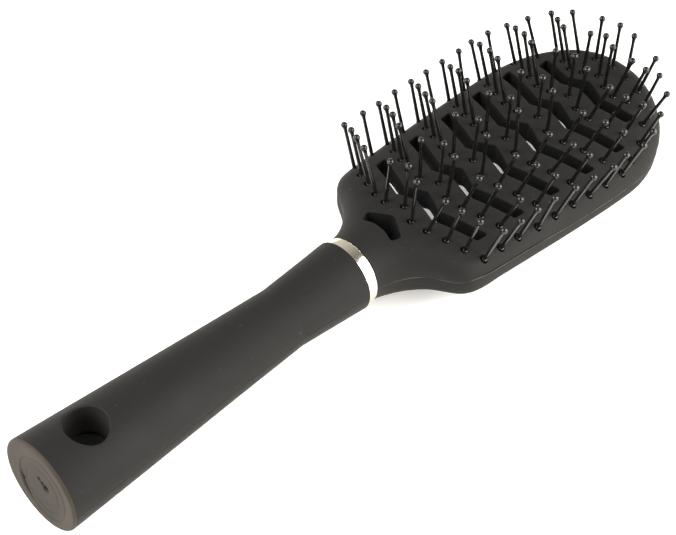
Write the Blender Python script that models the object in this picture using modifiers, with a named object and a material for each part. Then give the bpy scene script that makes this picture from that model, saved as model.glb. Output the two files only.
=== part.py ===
"""A vent brush: a crowned paddle head with zigzag vents and ball-tipped pins, on an oval handle.

+X runs from the handle's end to the head's tip, +Z is the side the pins stand on, and the brush
lies on z = 0. Lengths below are in millimetres, and are turned to metres as each mesh is made.
"""

import math

import bmesh
import bpy
import numpy as np

MM = 0.001

# Gaps: between fitted pieces, and along the parting lines of the shells
FIT_CLEARANCE = 0.3
PARTING_GAP = 0.3

# How far a cutter runs past the faces it cuts, and what keeps joined solids' faces out of one plane
CUTTER_REACH = 1.0
FACE_STEP = 0.05

# Handle: an oval grip that tapers to a waist and flares again to the ring
HANDLE_LENGTH = 105.2
TAIL_HALF_WIDTH = 14.1
TAIL_HALF_HEIGHT = 12.4
HANDLE_TAPER = 0.0602
FLARE_SLOPE = 0.072
WAIST_BLEND = 0.9
GRIP_END_RADIUS = 10.85
GRIP_WALL = 2.6
CAVITY_FROM_TAIL = 32.0
TAIL_SLANT = 0.075

# Hanging hole
HOLE_FROM_TAIL = 16.0
HOLE_RADIUS = 5.9
HOLE_STRETCH = 1.07
HOLE_RIM_RADIUS = 0.6

# End plug: a flange flush with the grip, a groove round its face, and a boss inside the grip
PLUG_FLANGE = 1.6
PLUG_EDGE_RADIUS = 0.9
PLUG_BOSS_DEPTH = 4.4
PLUG_BOSS_INSET = 3.2
PLUG_GROOVE_INSET = 2.9
PLUG_GROOVE_WIDTH = 0.9
PLUG_GROOVE_DEPTH = 0.4

# Ring between handle and head, and the spigot it sits on
RING_WIDTH = 3.3
RING_RADIUS = 10.65
RING_HEAD_RADIUS = 10.3
RING_EDGE = 0.25
SPIGOT_RADIUS = 7.2
SPIGOT_LENGTH = 20.0
SPIGOT_ROOT = 2.0

# Head: a crowned paddle whose section grows into the round neck
HEAD_LENGTH = 118.3
CROWN_RADIUS = 55.0
FRONT_THICKNESS = 4.9
HEAD_THICKNESS = 8.4
FRONT_EDGE_RADIUS = 4.0
BACK_EDGE_RADIUS = 3.1
NECK_RADIUS = 10.25
NECK_BACK_HEIGHT = 8.9
NECK_BACK_REACH = 6.0
NECK_BACK_POWER = 2.4
LEAST_LIP = 0.1
SHOULDER_DEPTH = 1.2
SHOULDER_FADE = 34.0
NECK_PULL = (4.7, 0.35)
NECK_TURN_X = 13.8
NECK_TURN_HALF_WIDTH = 18.4
NECK_TURN_PULL = (3.6, 5.25)
SHOULDER_X = 28.1
SHOULDER_HALF_WIDTH = 28.4
SHOULDER_PULL = (11.0, 0.7)
HEAD_HALF_WIDTH = 31.3
SIDE_PULL = (15.0, 0.0)
TIP_LENGTH = 32.3
TIP_POWER = 2.15
NECK_BLEND_LENGTH = 26.0
CROWN_RISE = 0.15

# Vents, and the lands between them; the last vent has a shorter reach
VENT_COUNT = 6
FIRST_LAND_FROM_NECK = 20.1
LAST_LAND_FROM_TIP = 12.4
VENT_WIDTH = 4.25
VENT_APEX_X = 0.55
VENT_APEX_EXTRA = 0.5
VENT_VALLEY_X = -2.4
VENT_VALLEY_Y = 6.8
VENT_LEG_SLOPE = 0.44
VENT_SETBACK_SHARE = 0.45
VENT_END_INSETS = (8.5, 8.5, 8.5, 8.4, 8.4, 9.7)
NECK_VENT_FROM_LAND = 7.6
NECK_VENT_APEX = 3.3
NECK_VENT_SPAN = 6.7
NECK_VENT_SWEEP = 3.9
NECK_VENT_WIDTH = 5.75

# Pins, row by row: where each stands, and how far the outermost keeps from the edge
PIN_HEIGHT = 15.35
PIN_BASE_RADIUS = 0.6
PIN_TIP_RADIUS = 0.42
PIN_BALL_RADIUS = 0.95
PIN_HOLE_RADIUS = 0.95
SIDE_TILT = math.radians(18.3)
CENTRE_TILT = math.radians(1.5)
LAND_EDGE_INSETS = (2.7, 2.7, 2.5, 2.4, 2.4, 4.6, 7.7)
LAND_STEPS = (5, 5, 5, 5, 5, 5, 4)
LAND_SETBACKS = (0.0, 0.0, 0.0, 0.0, 0.0, 1.0, 2.0)
APEX_PIN_X = -0.35
VALLEY_PIN_X = -2.9
OUTER_PIN_X = -1.9
OUTER_PIN_STEPS = (2.3, 2.5, 2.7, 2.8, 2.9, 2.55, 2.3)
RIM_EDGE_INSETS = (2.6, 2.4, 2.6, 2.5, 3.4, 6.4)
RIM_PIN_XS = (5.95, 6.25, 6.6, 6.45, 5.4, 3.35)
TIP_ROW_FROM_LAST_LAND = 6.5
TIP_ROW_SPACING = 5.9
TIP_ROW_SWEEP = 1.0

# Pin carriers, which lie in pockets under the front plate's skin
PLATE_SKIN = 2.2
CARRIER_HALF_WIDTH = 1.7
CARRIER_OVERHANG = 0.9
RAIL_HALF_WIDTH = 1.3

# Facets
CROWN_STEPS = 3
EDGE_STEPS = 3
TIP_STEPS = 9
PIN_SIDES = 6
HANDLE_SIDES = 28
HANDLE_STATIONS = 15
ROUND_STEPS = 40

# Looks: base colour, roughness and metallic
COAT = ("soft_touch_black", (0.042, 0.040, 0.038), 0.55, 0.0)
NYLON = ("gloss_nylon_black", (0.012, 0.012, 0.013), 0.12, 0.0)
CHROME = ("chrome_plate", (0.78, 0.77, 0.75), 0.09, 1.0)
PLUG = ("plug_grey", (0.19, 0.17, 0.155), 0.45, 0.0)


# Places along the brush, in the frame of the finished part

AXIS_HEIGHT = TAIL_HALF_HEIGHT
OVERALL_LENGTH = HANDLE_LENGTH + RING_WIDTH + 2 * FIT_CLEARANCE + HEAD_LENGTH
TAIL_X = -OVERALL_LENGTH / 2
TIP_X = OVERALL_LENGTH / 2
END_X = TAIL_X + TAIL_SLANT * TAIL_HALF_HEIGHT
GRIP_X = END_X + PLUG_FLANGE + FIT_CLEARANCE
RING_X = TAIL_X + HANDLE_LENGTH + FIT_CLEARANCE
NECK_X = RING_X + RING_WIDTH + FIT_CLEARANCE
HOLE_X = TAIL_X + HOLE_FROM_TAIL
FRONT_Z = AXIS_HEIGHT + GRIP_END_RADIUS + CROWN_RISE
TIP_CENTRE_X = TIP_X - TIP_LENGTH
FIRST_LAND_X = NECK_X + FIRST_LAND_FROM_NECK
LAND_PITCH = (TIP_X - LAST_LAND_FROM_TIP - FIRST_LAND_X) / VENT_COUNT
LEVEL_RIM_X = NECK_X + SHOULDER_X


def smooth(t):
    """The usual ease from 0 to 1."""
    t = np.clip(t, 0.0, 1.0)
    return t * t * (3.0 - 2.0 * t)


def bezier(p0, p1, p2, p3, count):
    """Points along one cubic Bezier curve, its end left off."""
    t = np.linspace(0.0, 1.0, count, endpoint=False)[:, None]
    p0, p1, p2, p3 = (np.array(p, float) for p in (p0, p1, p2, p3))
    return (1 - t) ** 3 * p0 + 3 * t * (1 - t) ** 2 * p1 + 3 * t * t * (1 - t) * p2 + t ** 3 * p3


def head_outline():
    """Half of the head's outline seen from the front, from the neck to the tip, as x, half width."""
    start = np.array([NECK_X, NECK_RADIUS])
    turn = np.array([NECK_X + NECK_TURN_X, NECK_TURN_HALF_WIDTH])
    shoulder = np.array([NECK_X + SHOULDER_X, SHOULDER_HALF_WIDTH])
    widest = np.array([TIP_CENTRE_X, HEAD_HALF_WIDTH])
    neck = bezier(start, start + NECK_PULL, turn - NECK_TURN_PULL, turn, 6)
    bulge = bezier(turn, turn + NECK_TURN_PULL, shoulder - SHOULDER_PULL, shoulder, 7)
    side = bezier(shoulder, shoulder + SHOULDER_PULL, widest - SIDE_PULL, widest, 5)
    angle = np.linspace(0.0, math.pi / 2, TIP_STEPS + 1)
    tip = np.stack([TIP_CENTRE_X + TIP_LENGTH * np.sin(angle) ** (2 / TIP_POWER),
                    HEAD_HALF_WIDTH * np.abs(np.cos(angle)) ** (2 / TIP_POWER)], 1)
    tip[-1, 1] = 0.0
    return np.concatenate([neck, bulge, side, tip])


OUTLINE = head_outline()


def half_width(x):
    """Half of the head's width at x."""
    return float(np.interp(x, OUTLINE[:, 0], OUTLINE[:, 1]))


def crown_z(y, depth=0.0):
    """Height of the crowned front, or of a surface that lies depth below it."""
    return FRONT_Z - depth - np.square(y) / (2 * CROWN_RADIUS)


def front_z(x, y):
    """Height of the front face, with the rounding of its edge."""
    steps = np.linspace(OUTLINE[:-1], OUTLINE[1:], 5).reshape(-1, 2)
    inset = float(np.min(np.hypot(steps[:, 0] - x, steps[:, 1] - abs(y))))
    turn = max(FRONT_EDGE_RADIUS - inset, 0.0)
    return float(crown_z(y)) - FRONT_EDGE_RADIUS + math.sqrt(FRONT_EDGE_RADIUS ** 2 - turn ** 2)


def neck_blend(x):
    """0 where the neck is round, 1 where the head has its paddle section."""
    return smooth((x - NECK_X) / NECK_BLEND_LENGTH)


def parting_z(x, y):
    """Height of the surface at which the front plate meets the back shell."""
    m = neck_blend(x)
    return (1 - m) * AXIS_HEIGHT + m * crown_z(y, FRONT_THICKNESS)


def land_x(land):
    """Place of a land between two vents along the brush."""
    return FIRST_LAND_X + land * LAND_PITCH


def collection(name, parent=None):
    """A new collection, in the scene or in another collection."""
    group = bpy.data.collections.new(name)
    (parent or bpy.context.scene.collection).children.link(group)
    return group


def material(piece, look):
    """A piece's own Principled material."""
    name, colour, roughness, metallic = look
    mat = bpy.data.materials.new(f"{piece}_{name}")
    mat.use_nodes = True
    shader = mat.node_tree.nodes["Principled BSDF"]
    shader.inputs["Base Color"].default_value = (*colour, 1.0)
    shader.inputs["Roughness"].default_value = roughness
    shader.inputs["Metallic"].default_value = metallic
    return mat


def place(obj, x, height):
    """Puts an object's origin on the brush's middle plane, and hangs it on the brush's axis."""
    obj.parent = bpy.data.objects["brush_axis"]
    obj.location = (x * MM, 0.0, (height - AXIS_HEIGHT) * MM)


def add_object(name, bm, group, look=None, x=0.0, height=0.0):
    """Turns a bmesh in millimetres into an object in metres, its origin at x and height.

    A sub-part has a look, and hangs on the brush's axis; a cutter has none. Both are shaded
    smooth but for their sharp edges.
    """
    bmesh.ops.translate(bm, verts=bm.verts, vec=(-x, 0.0, -height))
    bmesh.ops.scale(bm, verts=bm.verts, vec=(MM, MM, MM))
    bmesh.ops.recalc_face_normals(bm, faces=bm.faces)
    mesh = bpy.data.meshes.new(name)
    bm.to_mesh(mesh)
    bm.free()
    mesh.shade_smooth()
    mesh.set_sharp_from_angle(angle=math.radians(35))
    obj = bpy.data.objects.new(name, mesh)
    group.objects.link(obj)
    if look is None:
        obj.hide_render = True
        obj.display_type = "WIRE"
    else:
        mesh.materials.append(material(name, look))
        place(obj, x, height)
    return obj


def loft(rows, closed=True, caps=(True, True)):
    """A skin through rows of points, each as long as the next, with its ends filled."""
    bm = bmesh.new()
    grid = [[bm.verts.new(point) for point in row] for row in rows]
    count = len(grid[0])
    for lower, upper in zip(grid[:-1], grid[1:]):
        for k in range(count if closed else count - 1):
            after = (k + 1) % count
            bm.faces.new((lower[k], lower[after], upper[after], upper[k]))
    if caps[0]:
        bm.faces.new(list(reversed(grid[0])))
    if caps[1]:
        bm.faces.new(grid[-1])
    bmesh.ops.remove_doubles(bm, verts=bm.verts, dist=0.002)
    return bm


def joined(parts):
    """One bmesh that holds several."""
    bm = bmesh.new()
    for part in parts:
        mesh = bpy.data.meshes.new("joined_part")
        part.to_mesh(mesh)
        part.free()
        bm.from_mesh(mesh)
        bpy.data.meshes.remove(mesh)
    return bm


def prism(points, bottom, top):
    """A straight prism on a plan outline."""
    return loft([[(x, y, z) for x, y in points] for z in (bottom, top)])


def boolean(obj, tool, operation):
    """Cuts an object with a tool, or joins the tool to it."""
    modifier = obj.modifiers.new(operation.lower() + "_" + tool.name, "BOOLEAN")
    modifier.operation = operation
    modifier.solver = "EXACT"
    modifier.object = tool


def cut_all(obj, group):
    """Cuts an object with all the tools of a collection at once."""
    modifier = obj.modifiers.new("difference_" + group.name, "BOOLEAN")
    modifier.operation = "DIFFERENCE"
    modifier.solver = "EXACT"
    modifier.operand_type = "COLLECTION"
    modifier.collection = group


# Head: a front plate and a back shell that meet along the crowned parting surface

def paddle_back_z(x, y, share, out_x, out_y):
    """Height of the back's face; beside the neck it keeps the shoulder's arch and is set deeper."""
    widening = max(1.0, SHOULDER_HALF_WIDTH / out_y) if out_x < LEVEL_RIM_X else 1.0
    deeper = SHOULDER_DEPTH * (1 - smooth((x - NECK_X) / SHOULDER_FADE)) * share ** 2
    return crown_z(y * widening, HEAD_THICKNESS + deeper)


def neck_back_z(x, share):
    """Height of the neck's underside, which turns from a round into a flatter, squarer section."""
    ease = smooth((x - NECK_X) / NECK_BACK_REACH)
    tall = NECK_RADIUS + (NECK_BACK_HEIGHT - NECK_RADIUS) * ease
    power = 2.0 + (NECK_BACK_POWER - 2.0) * ease
    return AXIS_HEIGHT - tall * np.clip(1 - share ** power, 0, 1) ** (1 / power)


def head_row(front, spine_x, out_x, out_y):
    """One row of a head shell: from the outer face's spine, over the edge, back along the parting."""
    side = 1.0 if front else -1.0
    edge = FRONT_EDGE_RADIUS if front else BACK_EDGE_RADIUS
    gap = side * PARTING_GAP / 2
    reach = math.hypot(out_x - spine_x, out_y)
    angles = np.linspace(0.0, math.pi / 2, EDGE_STEPS + 1)
    crown = np.linspace(0.0, reach - edge, CROWN_STEPS, endpoint=False)
    along = np.concatenate([crown, reach - edge + edge * np.sin(angles)])
    drop = np.concatenate([np.zeros(CROWN_STEPS), edge * (1 - np.cos(angles))])
    share = along / reach
    x = spine_x + share * (out_x - spine_x)
    y = -share * out_y
    if front:
        neck_z = AXIS_HEIGHT + NECK_RADIUS * np.sqrt(np.clip(1 - share ** 2, 0, 1))
        paddle_z = crown_z(y) - drop
    else:
        neck_z = neck_back_z(x, share)
        paddle_z = paddle_back_z(x, y, share, out_x, out_y) + drop
    m = neck_blend(x)
    z = (1 - m) * neck_z + m * paddle_z
    lip = parting_z(x, y) + gap + side * LEAST_LIP
    z = np.maximum(z, lip) if front else np.minimum(z, lip)
    points = list(zip(x, y, z))
    for part in np.linspace(1.0, 0.0, CROWN_STEPS + 1):
        px = spine_x + part * (out_x - spine_x)
        py = -part * out_y
        points.append((px, py, float(parting_z(px, py)) + gap))
    return points


def head_shell(name, front, group, look):
    """The front plate or the back shell: half of it, mirrored across the brush."""
    rows = [head_row(front, min(x, TIP_CENTRE_X), x, y) for x, y in OUTLINE]
    obj = add_object(name, loft(rows, closed=False, caps=(True, False)), group, look, NECK_X, AXIS_HEIGHT)
    modifier = obj.modifiers.new("mirror", "MIRROR")
    modifier.use_axis = (False, True, False)
    modifier.merge_threshold = 0.00002
    return obj


def half_round(radius, front, start, end, gap):
    """Half of a round bar along the brush's axis, flat at the parting."""
    side = 1.0 if front else -1.0
    turns = np.linspace(0.0, math.pi, HANDLE_SIDES // 2 + 1)
    rows = []
    for x in (start, end):
        rows.append([(x, radius * math.cos(t), AXIS_HEIGHT + side * max(gap, radius * math.sin(t)))
                     for t in turns])
    return loft(rows)


def vent_points(vent):
    """Plan outline of one zigzag vent."""
    middle = land_x(vent) + LAND_PITCH / 2
    half = VENT_WIDTH / 2
    end_y = half_width(middle + VENT_WIDTH) - VENT_END_INSETS[vent]
    setback = VENT_SETBACK_SHARE * (LAND_SETBACKS[vent] + LAND_SETBACKS[vent + 1])
    end_x = VENT_VALLEY_X + VENT_LEG_SLOPE * (end_y - VENT_VALLEY_Y) - setback
    apex = half + VENT_APEX_EXTRA
    upper = [(VENT_APEX_X + apex, 0.0), (VENT_APEX_X + apex, 0.8),
             (VENT_VALLEY_X + half + 0.2, VENT_VALLEY_Y - 2.6),
             (VENT_VALLEY_X + half - 0.2, VENT_VALLEY_Y + 0.4),
             (end_x + half, end_y - 0.2), (end_x + half - 0.5, end_y + 0.3),
             (end_x - half + 0.4, end_y), (end_x - half, end_y - 0.6),
             (VENT_VALLEY_X - half + 0.15, VENT_VALLEY_Y + 2.2),
             (VENT_VALLEY_X - half + 0.15, VENT_VALLEY_Y - 2.0),
             (VENT_APEX_X - apex, 1.4)]
    lower = [(x, -y) for x, y in reversed(upper[1:])]
    return [(middle + x, y) for x, y in upper + lower]


def neck_vent_points():
    """Plan outline of the arrow-shaped vent at the neck."""
    middle = FIRST_LAND_X - NECK_VENT_FROM_LAND
    outer_x = NECK_VENT_APEX - NECK_VENT_SWEEP
    inner_x = NECK_VENT_APEX - NECK_VENT_WIDTH
    upper = [(NECK_VENT_APEX, 0.0), (NECK_VENT_APEX - 0.15, 0.7),
             (outer_x + 0.3, NECK_VENT_SPAN - 0.1), (outer_x - 0.3, NECK_VENT_SPAN),
             (inner_x - 0.7, NECK_VENT_SPAN - 0.9), (inner_x - 0.9, NECK_VENT_SPAN - 1.5),
             (inner_x, 1.9)]
    lower = [(x, -y) for x, y in reversed(upper[1:])]
    return [(middle + x, y) for x, y in upper + lower]


def vent_tool(group):
    """One cutter for all the vents."""
    outlines = [vent_points(vent) for vent in range(VENT_COUNT)] + [neck_vent_points()]
    prisms = [prism(points, -CUTTER_REACH, FRONT_Z + CUTTER_REACH) for points in outlines]
    return add_object("vent_cutter", joined(prisms), group)


# Pins: each has a place on the front face, a side (-1 near, 0 centre, 1 far) and a tilt

class Pin:
    """A pin's base on the front face, the side of its carrier, and its direction."""

    def __init__(self, x, y, step):
        outer = abs(step) > 1
        tilt = math.copysign(SIDE_TILT, step) if outer else CENTRE_TILT * step
        self.side = int(math.copysign(1, step)) if outer else 0
        self.base = np.array([x, y, front_z(x, y)])
        self.way = np.array([0.0, math.sin(tilt), math.cos(tilt)])

    def root(self, depth):
        """The point of the axis that lies depth below the crown."""
        fall = depth - (float(crown_z(self.base[1])) - self.base[2])
        return self.base - self.way * fall / self.way[2]

    def ring(self, height, radius, turn=0.0):
        """Points round the axis at a height above the base."""
        across = np.array([1.0, 0.0, 0.0])
        over = np.cross(self.way, across)
        centre = self.base + self.way * height
        angles = [2 * math.pi * (k + turn) / PIN_SIDES for k in range(PIN_SIDES)]
        return [centre + radius * (math.cos(a) * across + math.sin(a) * over) for a in angles]


def land_pins(land):
    """The pins of one land, from the near side to the far side."""
    steps = LAND_STEPS[land]
    spread = OUTER_PIN_STEPS[land]
    outer_x = OUTER_PIN_X + spread * (steps - 2) - LAND_SETBACKS[land]
    span = half_width(land_x(land) + outer_x) - LAND_EDGE_INSETS[land]
    pins = []
    for step in range(-steps, steps + 1):
        x = OUTER_PIN_X + spread * (abs(step) - 2) - LAND_SETBACKS[land]
        if abs(step) < 2:
            x = VALLEY_PIN_X if step else APEX_PIN_X
        pins.append(Pin(land_x(land) + x, span * step / steps, step))
    return pins


def tip_pins():
    """The short row between the last land and the tip."""
    x = land_x(VENT_COUNT) + TIP_ROW_FROM_LAST_LAND
    return [Pin(x - TIP_ROW_SWEEP * abs(step), TIP_ROW_SPACING * step, step) for step in range(-2, 3)]


def rim_pins(side):
    """The pins beyond the vents' ends on one side."""
    pins = []
    for vent in range(VENT_COUNT):
        x = land_x(vent) + LAND_PITCH / 2 + RIM_PIN_XS[vent]
        pins.append(Pin(x, side * (half_width(x) - RIM_EDGE_INSETS[vent]), 2 * side))
    return pins


def pin_mesh(pin):
    """A turned pin: a tapered shaft from its root in the carrier to its ball tip."""
    neck = PIN_HEIGHT - 0.8 * PIN_BALL_RADIUS
    profile = [(-ROOT_DEPTH, PIN_BASE_RADIUS), (neck, PIN_TIP_RADIUS)]
    for share in (-0.4, 0.4):
        profile.append((PIN_HEIGHT + share * PIN_BALL_RADIUS, PIN_BALL_RADIUS * math.sqrt(1 - share ** 2)))
    rows = [pin.ring(height, radius) for height, radius in profile]
    rows.append([pin.base + pin.way * (PIN_HEIGHT + PIN_BALL_RADIUS)] * PIN_SIDES)
    return loft(rows, caps=(True, False))


def pin_hole(pin):
    """A straight cutter along a pin, through the plate's skin."""
    ends = (-CARRIER_TOP - CUTTER_REACH, PIN_HOLE_RADIUS + CUTTER_REACH)
    return loft([pin.ring(height, PIN_HOLE_RADIUS, 0.5) for height in ends])


# Carriers: crowned bars under the front plate's skin

CARRIER_TOP = PLATE_SKIN + FIT_CLEARANCE
CARRIER_BOTTOM = FRONT_THICKNESS - PARTING_GAP / 2
ROOT_DEPTH = 0.5 * (CARRIER_TOP + CARRIER_BOTTOM)


def bar(path, width, top, bottom):
    """A bar along a plan path, its upper and lower faces parallel to the crown."""
    path = np.array(path, float)
    steps = np.diff(path, axis=0)
    steps /= np.linalg.norm(steps, axis=1)[:, None]
    ways = np.concatenate([steps[:1], steps[:-1] + steps[1:], steps[-1:]])
    ways /= np.linalg.norm(ways, axis=1)[:, None]
    rows = []
    for (x, y), way in zip(path, ways):
        left = (x - way[1] * width, y + way[0] * width)
        right = (x + way[1] * width, y - way[0] * width)
        rows.append([(*left, float(crown_z(left[1], top))), (*right, float(crown_z(right[1], top))),
                     (*right, float(crown_z(right[1], bottom))), (*left, float(crown_z(left[1], bottom)))])
    return loft(rows)


def stretched(path, overhang):
    """A path made longer at both ends."""
    path = np.array(path, float)
    first = path[0] - path[1]
    last = path[-1] - path[-2]
    path[0] += first / np.linalg.norm(first) * overhang
    path[-1] += last / np.linalg.norm(last) * overhang
    return path


def roots(pins):
    """Plan places of the pins' roots."""
    return [pin.root(ROOT_DEPTH)[:2] for pin in pins]


LANDS = [land_pins(land) for land in range(VENT_COUNT + 1)]
TIP_ROW = tip_pins()
RIMS = {side: rim_pins(side) for side in (-1, 1)}


def clip_bar(land, room, top, bottom):
    """The small bar under a land's centre pins; the last one reaches under the tip row as well."""
    path = np.array(roots([pin for pin in LANDS[land] if pin.side == 0]))
    width = CARRIER_HALF_WIDTH + room
    if land == VENT_COUNT:
        row = np.array(roots([pin for pin in TIP_ROW if pin.side == 0]))
        width += 0.5 * float(np.max(row[:, 0] - path[:, 0]))
        path = np.stack([0.5 * (path[:, 0] + row[:, 0]), row[:, 1]], 1)
    return bar(stretched(path, CARRIER_OVERHANG + room), width, top, bottom)


def finger_path(land, side):
    """Path of a comb's finger, from the rail inwards along a land."""
    pins = [pin for pin in LANDS[land] if pin.side == side]
    pins.sort(key=lambda pin: -abs(pin.base[1]))
    return roots(pins)


def rail_path(side):
    """Path of a comb's rail along the head's edge."""
    pins = list(RIMS[side]) + [pin for pin in TIP_ROW if pin.side == side]
    for pins_of_land in LANDS:
        pins.append(pins_of_land[-1 if side > 0 else 0])
    pins.sort(key=lambda pin: pin.base[0])
    return roots(pins)


def comb(name, side, group, tools, look):
    """A rail with a finger along each land, and the tilted pins moulded on them."""
    rail = bar(stretched(rail_path(side), CARRIER_OVERHANG), RAIL_HALF_WIDTH, CARRIER_TOP, CARRIER_BOTTOM)
    obj = add_object(name, rail, group, look, FIRST_LAND_X, FRONT_Z)
    fingers = []
    for land in range(VENT_COUNT + 1):
        path = np.array(finger_path(land, side))
        last = path[-1] - path[-2]
        path[-1] += last / np.linalg.norm(last) * CARRIER_OVERHANG
        fingers.append(bar(path, CARRIER_HALF_WIDTH, CARRIER_TOP + FACE_STEP, CARRIER_BOTTOM - FACE_STEP))
    boolean(obj, add_object(name + "_fingers", joined(fingers), tools), "UNION")
    pins = [pin for pin in sum(LANDS, []) + TIP_ROW if pin.side == side] + RIMS[side]
    boolean(obj, add_object(name + "_pins", joined([pin_mesh(pin) for pin in pins]), tools), "UNION")
    return obj


def clip(name, land, group, tools, look):
    """The bar that holds a land's centre pins; the last one holds the tip row's as well."""
    pins = [pin for pin in LANDS[land] if pin.side == 0]
    if land == VENT_COUNT:
        pins += [pin for pin in TIP_ROW if pin.side == 0]
    bar_mesh = clip_bar(land, 0.0, CARRIER_TOP, CARRIER_BOTTOM)
    obj = add_object(name, bar_mesh, group, look, land_x(land), FRONT_Z)
    boolean(obj, add_object(name + "_pins", joined([pin_mesh(pin) for pin in pins]), tools), "UNION")
    return obj


def pocket_tools(tools):
    """Cutters for the pockets that the carriers lie in: the two rails, then all the shorter bars."""
    room = FIT_CLEARANCE
    below = FRONT_THICKNESS + CUTTER_REACH
    rails = [bar(stretched(rail_path(side), CARRIER_OVERHANG + room), RAIL_HALF_WIDTH + room,
                 PLATE_SKIN, below) for side in (-1, 1)]
    short = [clip_bar(land, room, PLATE_SKIN, below) for land in range(VENT_COUNT + 1)]
    fingers = []
    for side in (-1, 1):
        for land in range(VENT_COUNT + 1):
            fingers.append(bar(stretched(finger_path(land, side), CARRIER_OVERHANG + room),
                               CARRIER_HALF_WIDTH + room, PLATE_SKIN + FACE_STEP, below + FACE_STEP))
    add_object("rail_pockets", joined(rails), tools)
    add_object("clip_pockets", joined(short), tools)
    add_object("finger_pockets", joined(fingers), tools)


# Handle

def grip_size(x):
    """Half width and half height of the grip at x."""
    from_tail = max(x - END_X, 0.0)
    to_ring = max(RING_X - x, 0.0)
    taper = TAIL_HALF_WIDTH - HANDLE_TAPER * from_tail
    flare = GRIP_END_RADIUS - FLARE_SLOPE * to_ring
    wide = WAIST_BLEND * math.log(math.exp(taper / WAIST_BLEND) + math.exp(flare / WAIST_BLEND))
    spare = WAIST_BLEND * math.exp(-abs(taper - flare) / WAIST_BLEND) * math.log(2.0)
    share = from_tail / (RING_X - END_X)
    wide -= spare * share
    squash = TAIL_HALF_HEIGHT / TAIL_HALF_WIDTH
    tall = wide * (squash + (1 - squash) * share)
    return wide, tall


def slant(z, x):
    """How far the tail's slant moves a point at height z, fading towards the hole."""
    fade = 1.0 - smooth((x - END_X) / (2 * HOLE_FROM_TAIL))
    return TAIL_SLANT * (z - AXIS_HEIGHT) * fade


def oval(x, inset, sides, start=0.0, end=2 * math.pi, gap=0.0, wrap=True):
    """Points round the grip's oval at x, inset from its surface."""
    wide, tall = grip_size(x)
    points = []
    for turn in np.linspace(start, end, sides, endpoint=not wrap):
        y = (wide - inset) * math.cos(turn)
        up = (tall - inset) * math.sin(turn)
        if not wrap:
            up = math.copysign(max(abs(up), gap), math.sin(0.5 * (start + end)))
        z = AXIS_HEIGHT + up
        points.append((x + slant(z, x), y, z))
    return points


def grip_half(name, front, group, look):
    """One half of the grip, flat at the parting."""
    stations = np.linspace(GRIP_X, RING_X - FIT_CLEARANCE, HANDLE_STATIONS)
    start, end = (0.0, math.pi) if front else (math.pi, 2 * math.pi)
    rows = [oval(x, 0.0, HANDLE_SIDES // 2 + 1, start, end, PARTING_GAP / 2, wrap=False) for x in stations]
    return add_object(name, loft(rows), group, look, GRIP_X, AXIS_HEIGHT)


def cavity_tool(tools):
    """Cutter for the hollow in the grip: an oval core, then a round bore for the spigot."""
    core_end = RING_X - SPIGOT_LENGTH - FIT_CLEARANCE
    core = []
    for x in np.linspace(TAIL_X + CAVITY_FROM_TAIL, core_end, 4):
        core.append(oval(x, GRIP_WALL, HANDLE_SIDES // 2))
    bore = SPIGOT_RADIUS + FIT_CLEARANCE
    for x in (core_end + FACE_STEP, RING_X + CUTTER_REACH):
        turns = np.linspace(0.0, 2 * math.pi, HANDLE_SIDES // 2, endpoint=False)
        core.append([(x, bore * math.cos(t), AXIS_HEIGHT + bore * math.sin(t)) for t in turns])
    return add_object("grip_cavity", loft(core), tools)


def hole_tool(tools):
    """Cutter for the hanging hole, its rims rounded along the grip's surface."""
    rows = []
    profile = [(HOLE_RADIUS + HOLE_RIM_RADIUS, -3 * CUTTER_REACH)]
    for turn in np.linspace(0.0, math.pi / 2, 4):
        profile.append((HOLE_RADIUS + HOLE_RIM_RADIUS * (1 - math.sin(turn)),
                        HOLE_RIM_RADIUS * (1 - math.cos(turn))))
    for side, order in ((1.0, profile), (-1.0, list(reversed(profile)))):
        for radius, depth in order:
            row = []
            for turn in np.linspace(0.0, 2 * math.pi, 28, endpoint=False):
                x = HOLE_X + radius * math.cos(turn)
                y = HOLE_STRETCH * radius * math.sin(turn)
                wide, tall = grip_size(x)
                up = tall * math.sqrt(1 - (y / wide) ** 2)
                row.append((x, y, AXIS_HEIGHT + side * (up - depth)))
            rows.append(row)
    return add_object("hole_cutter", loft(rows), tools)


def plug_row(x, inset):
    """A row round the end plug; its oval is the grip's own, inset."""
    wide, tall = grip_size(min(x, GRIP_X))
    row = []
    for turn in np.linspace(0.0, 2 * math.pi, HANDLE_SIDES, endpoint=False):
        y = (wide - inset) * math.cos(turn)
        z = (tall - inset) * math.sin(turn)
        row.append((x + TAIL_SLANT * z, y, AXIS_HEIGHT + z))
    return row


def end_plug(group, look):
    """The oval plug that closes the grip's tail."""
    edge = PLUG_EDGE_RADIUS
    inside = END_X + PLUG_FLANGE
    groove = PLUG_GROOVE_INSET + PLUG_GROOVE_WIDTH
    rows = [plug_row(END_X, groove), plug_row(END_X + PLUG_GROOVE_DEPTH, groove - PLUG_GROOVE_WIDTH / 2),
            plug_row(END_X, PLUG_GROOVE_INSET)]
    for turn in np.linspace(0.0, math.pi / 2, 4):
        rows.append(plug_row(END_X + edge * (1 - math.cos(turn)), edge * (1 - math.sin(turn))))
    rows.append(plug_row(inside, 0.0))
    rows.append(plug_row(inside, PLUG_BOSS_INSET))
    rows.append(plug_row(inside + PLUG_BOSS_DEPTH, PLUG_BOSS_INSET))
    return add_object("end_plug", loft(rows), group, look, END_X, AXIS_HEIGHT)


def plug_seat_tool(tools):
    """Cutter for the seat of the plug's boss in the grip."""
    inset = PLUG_BOSS_INSET - FIT_CLEARANCE
    deep = END_X + PLUG_FLANGE + PLUG_BOSS_DEPTH + FIT_CLEARANCE
    rows = [plug_row(x, inset) for x in (END_X - CUTTER_REACH, deep)]
    return add_object("plug_seat", loft(rows), tools)


# Ring: a tapered band turned about the brush's axis

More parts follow.
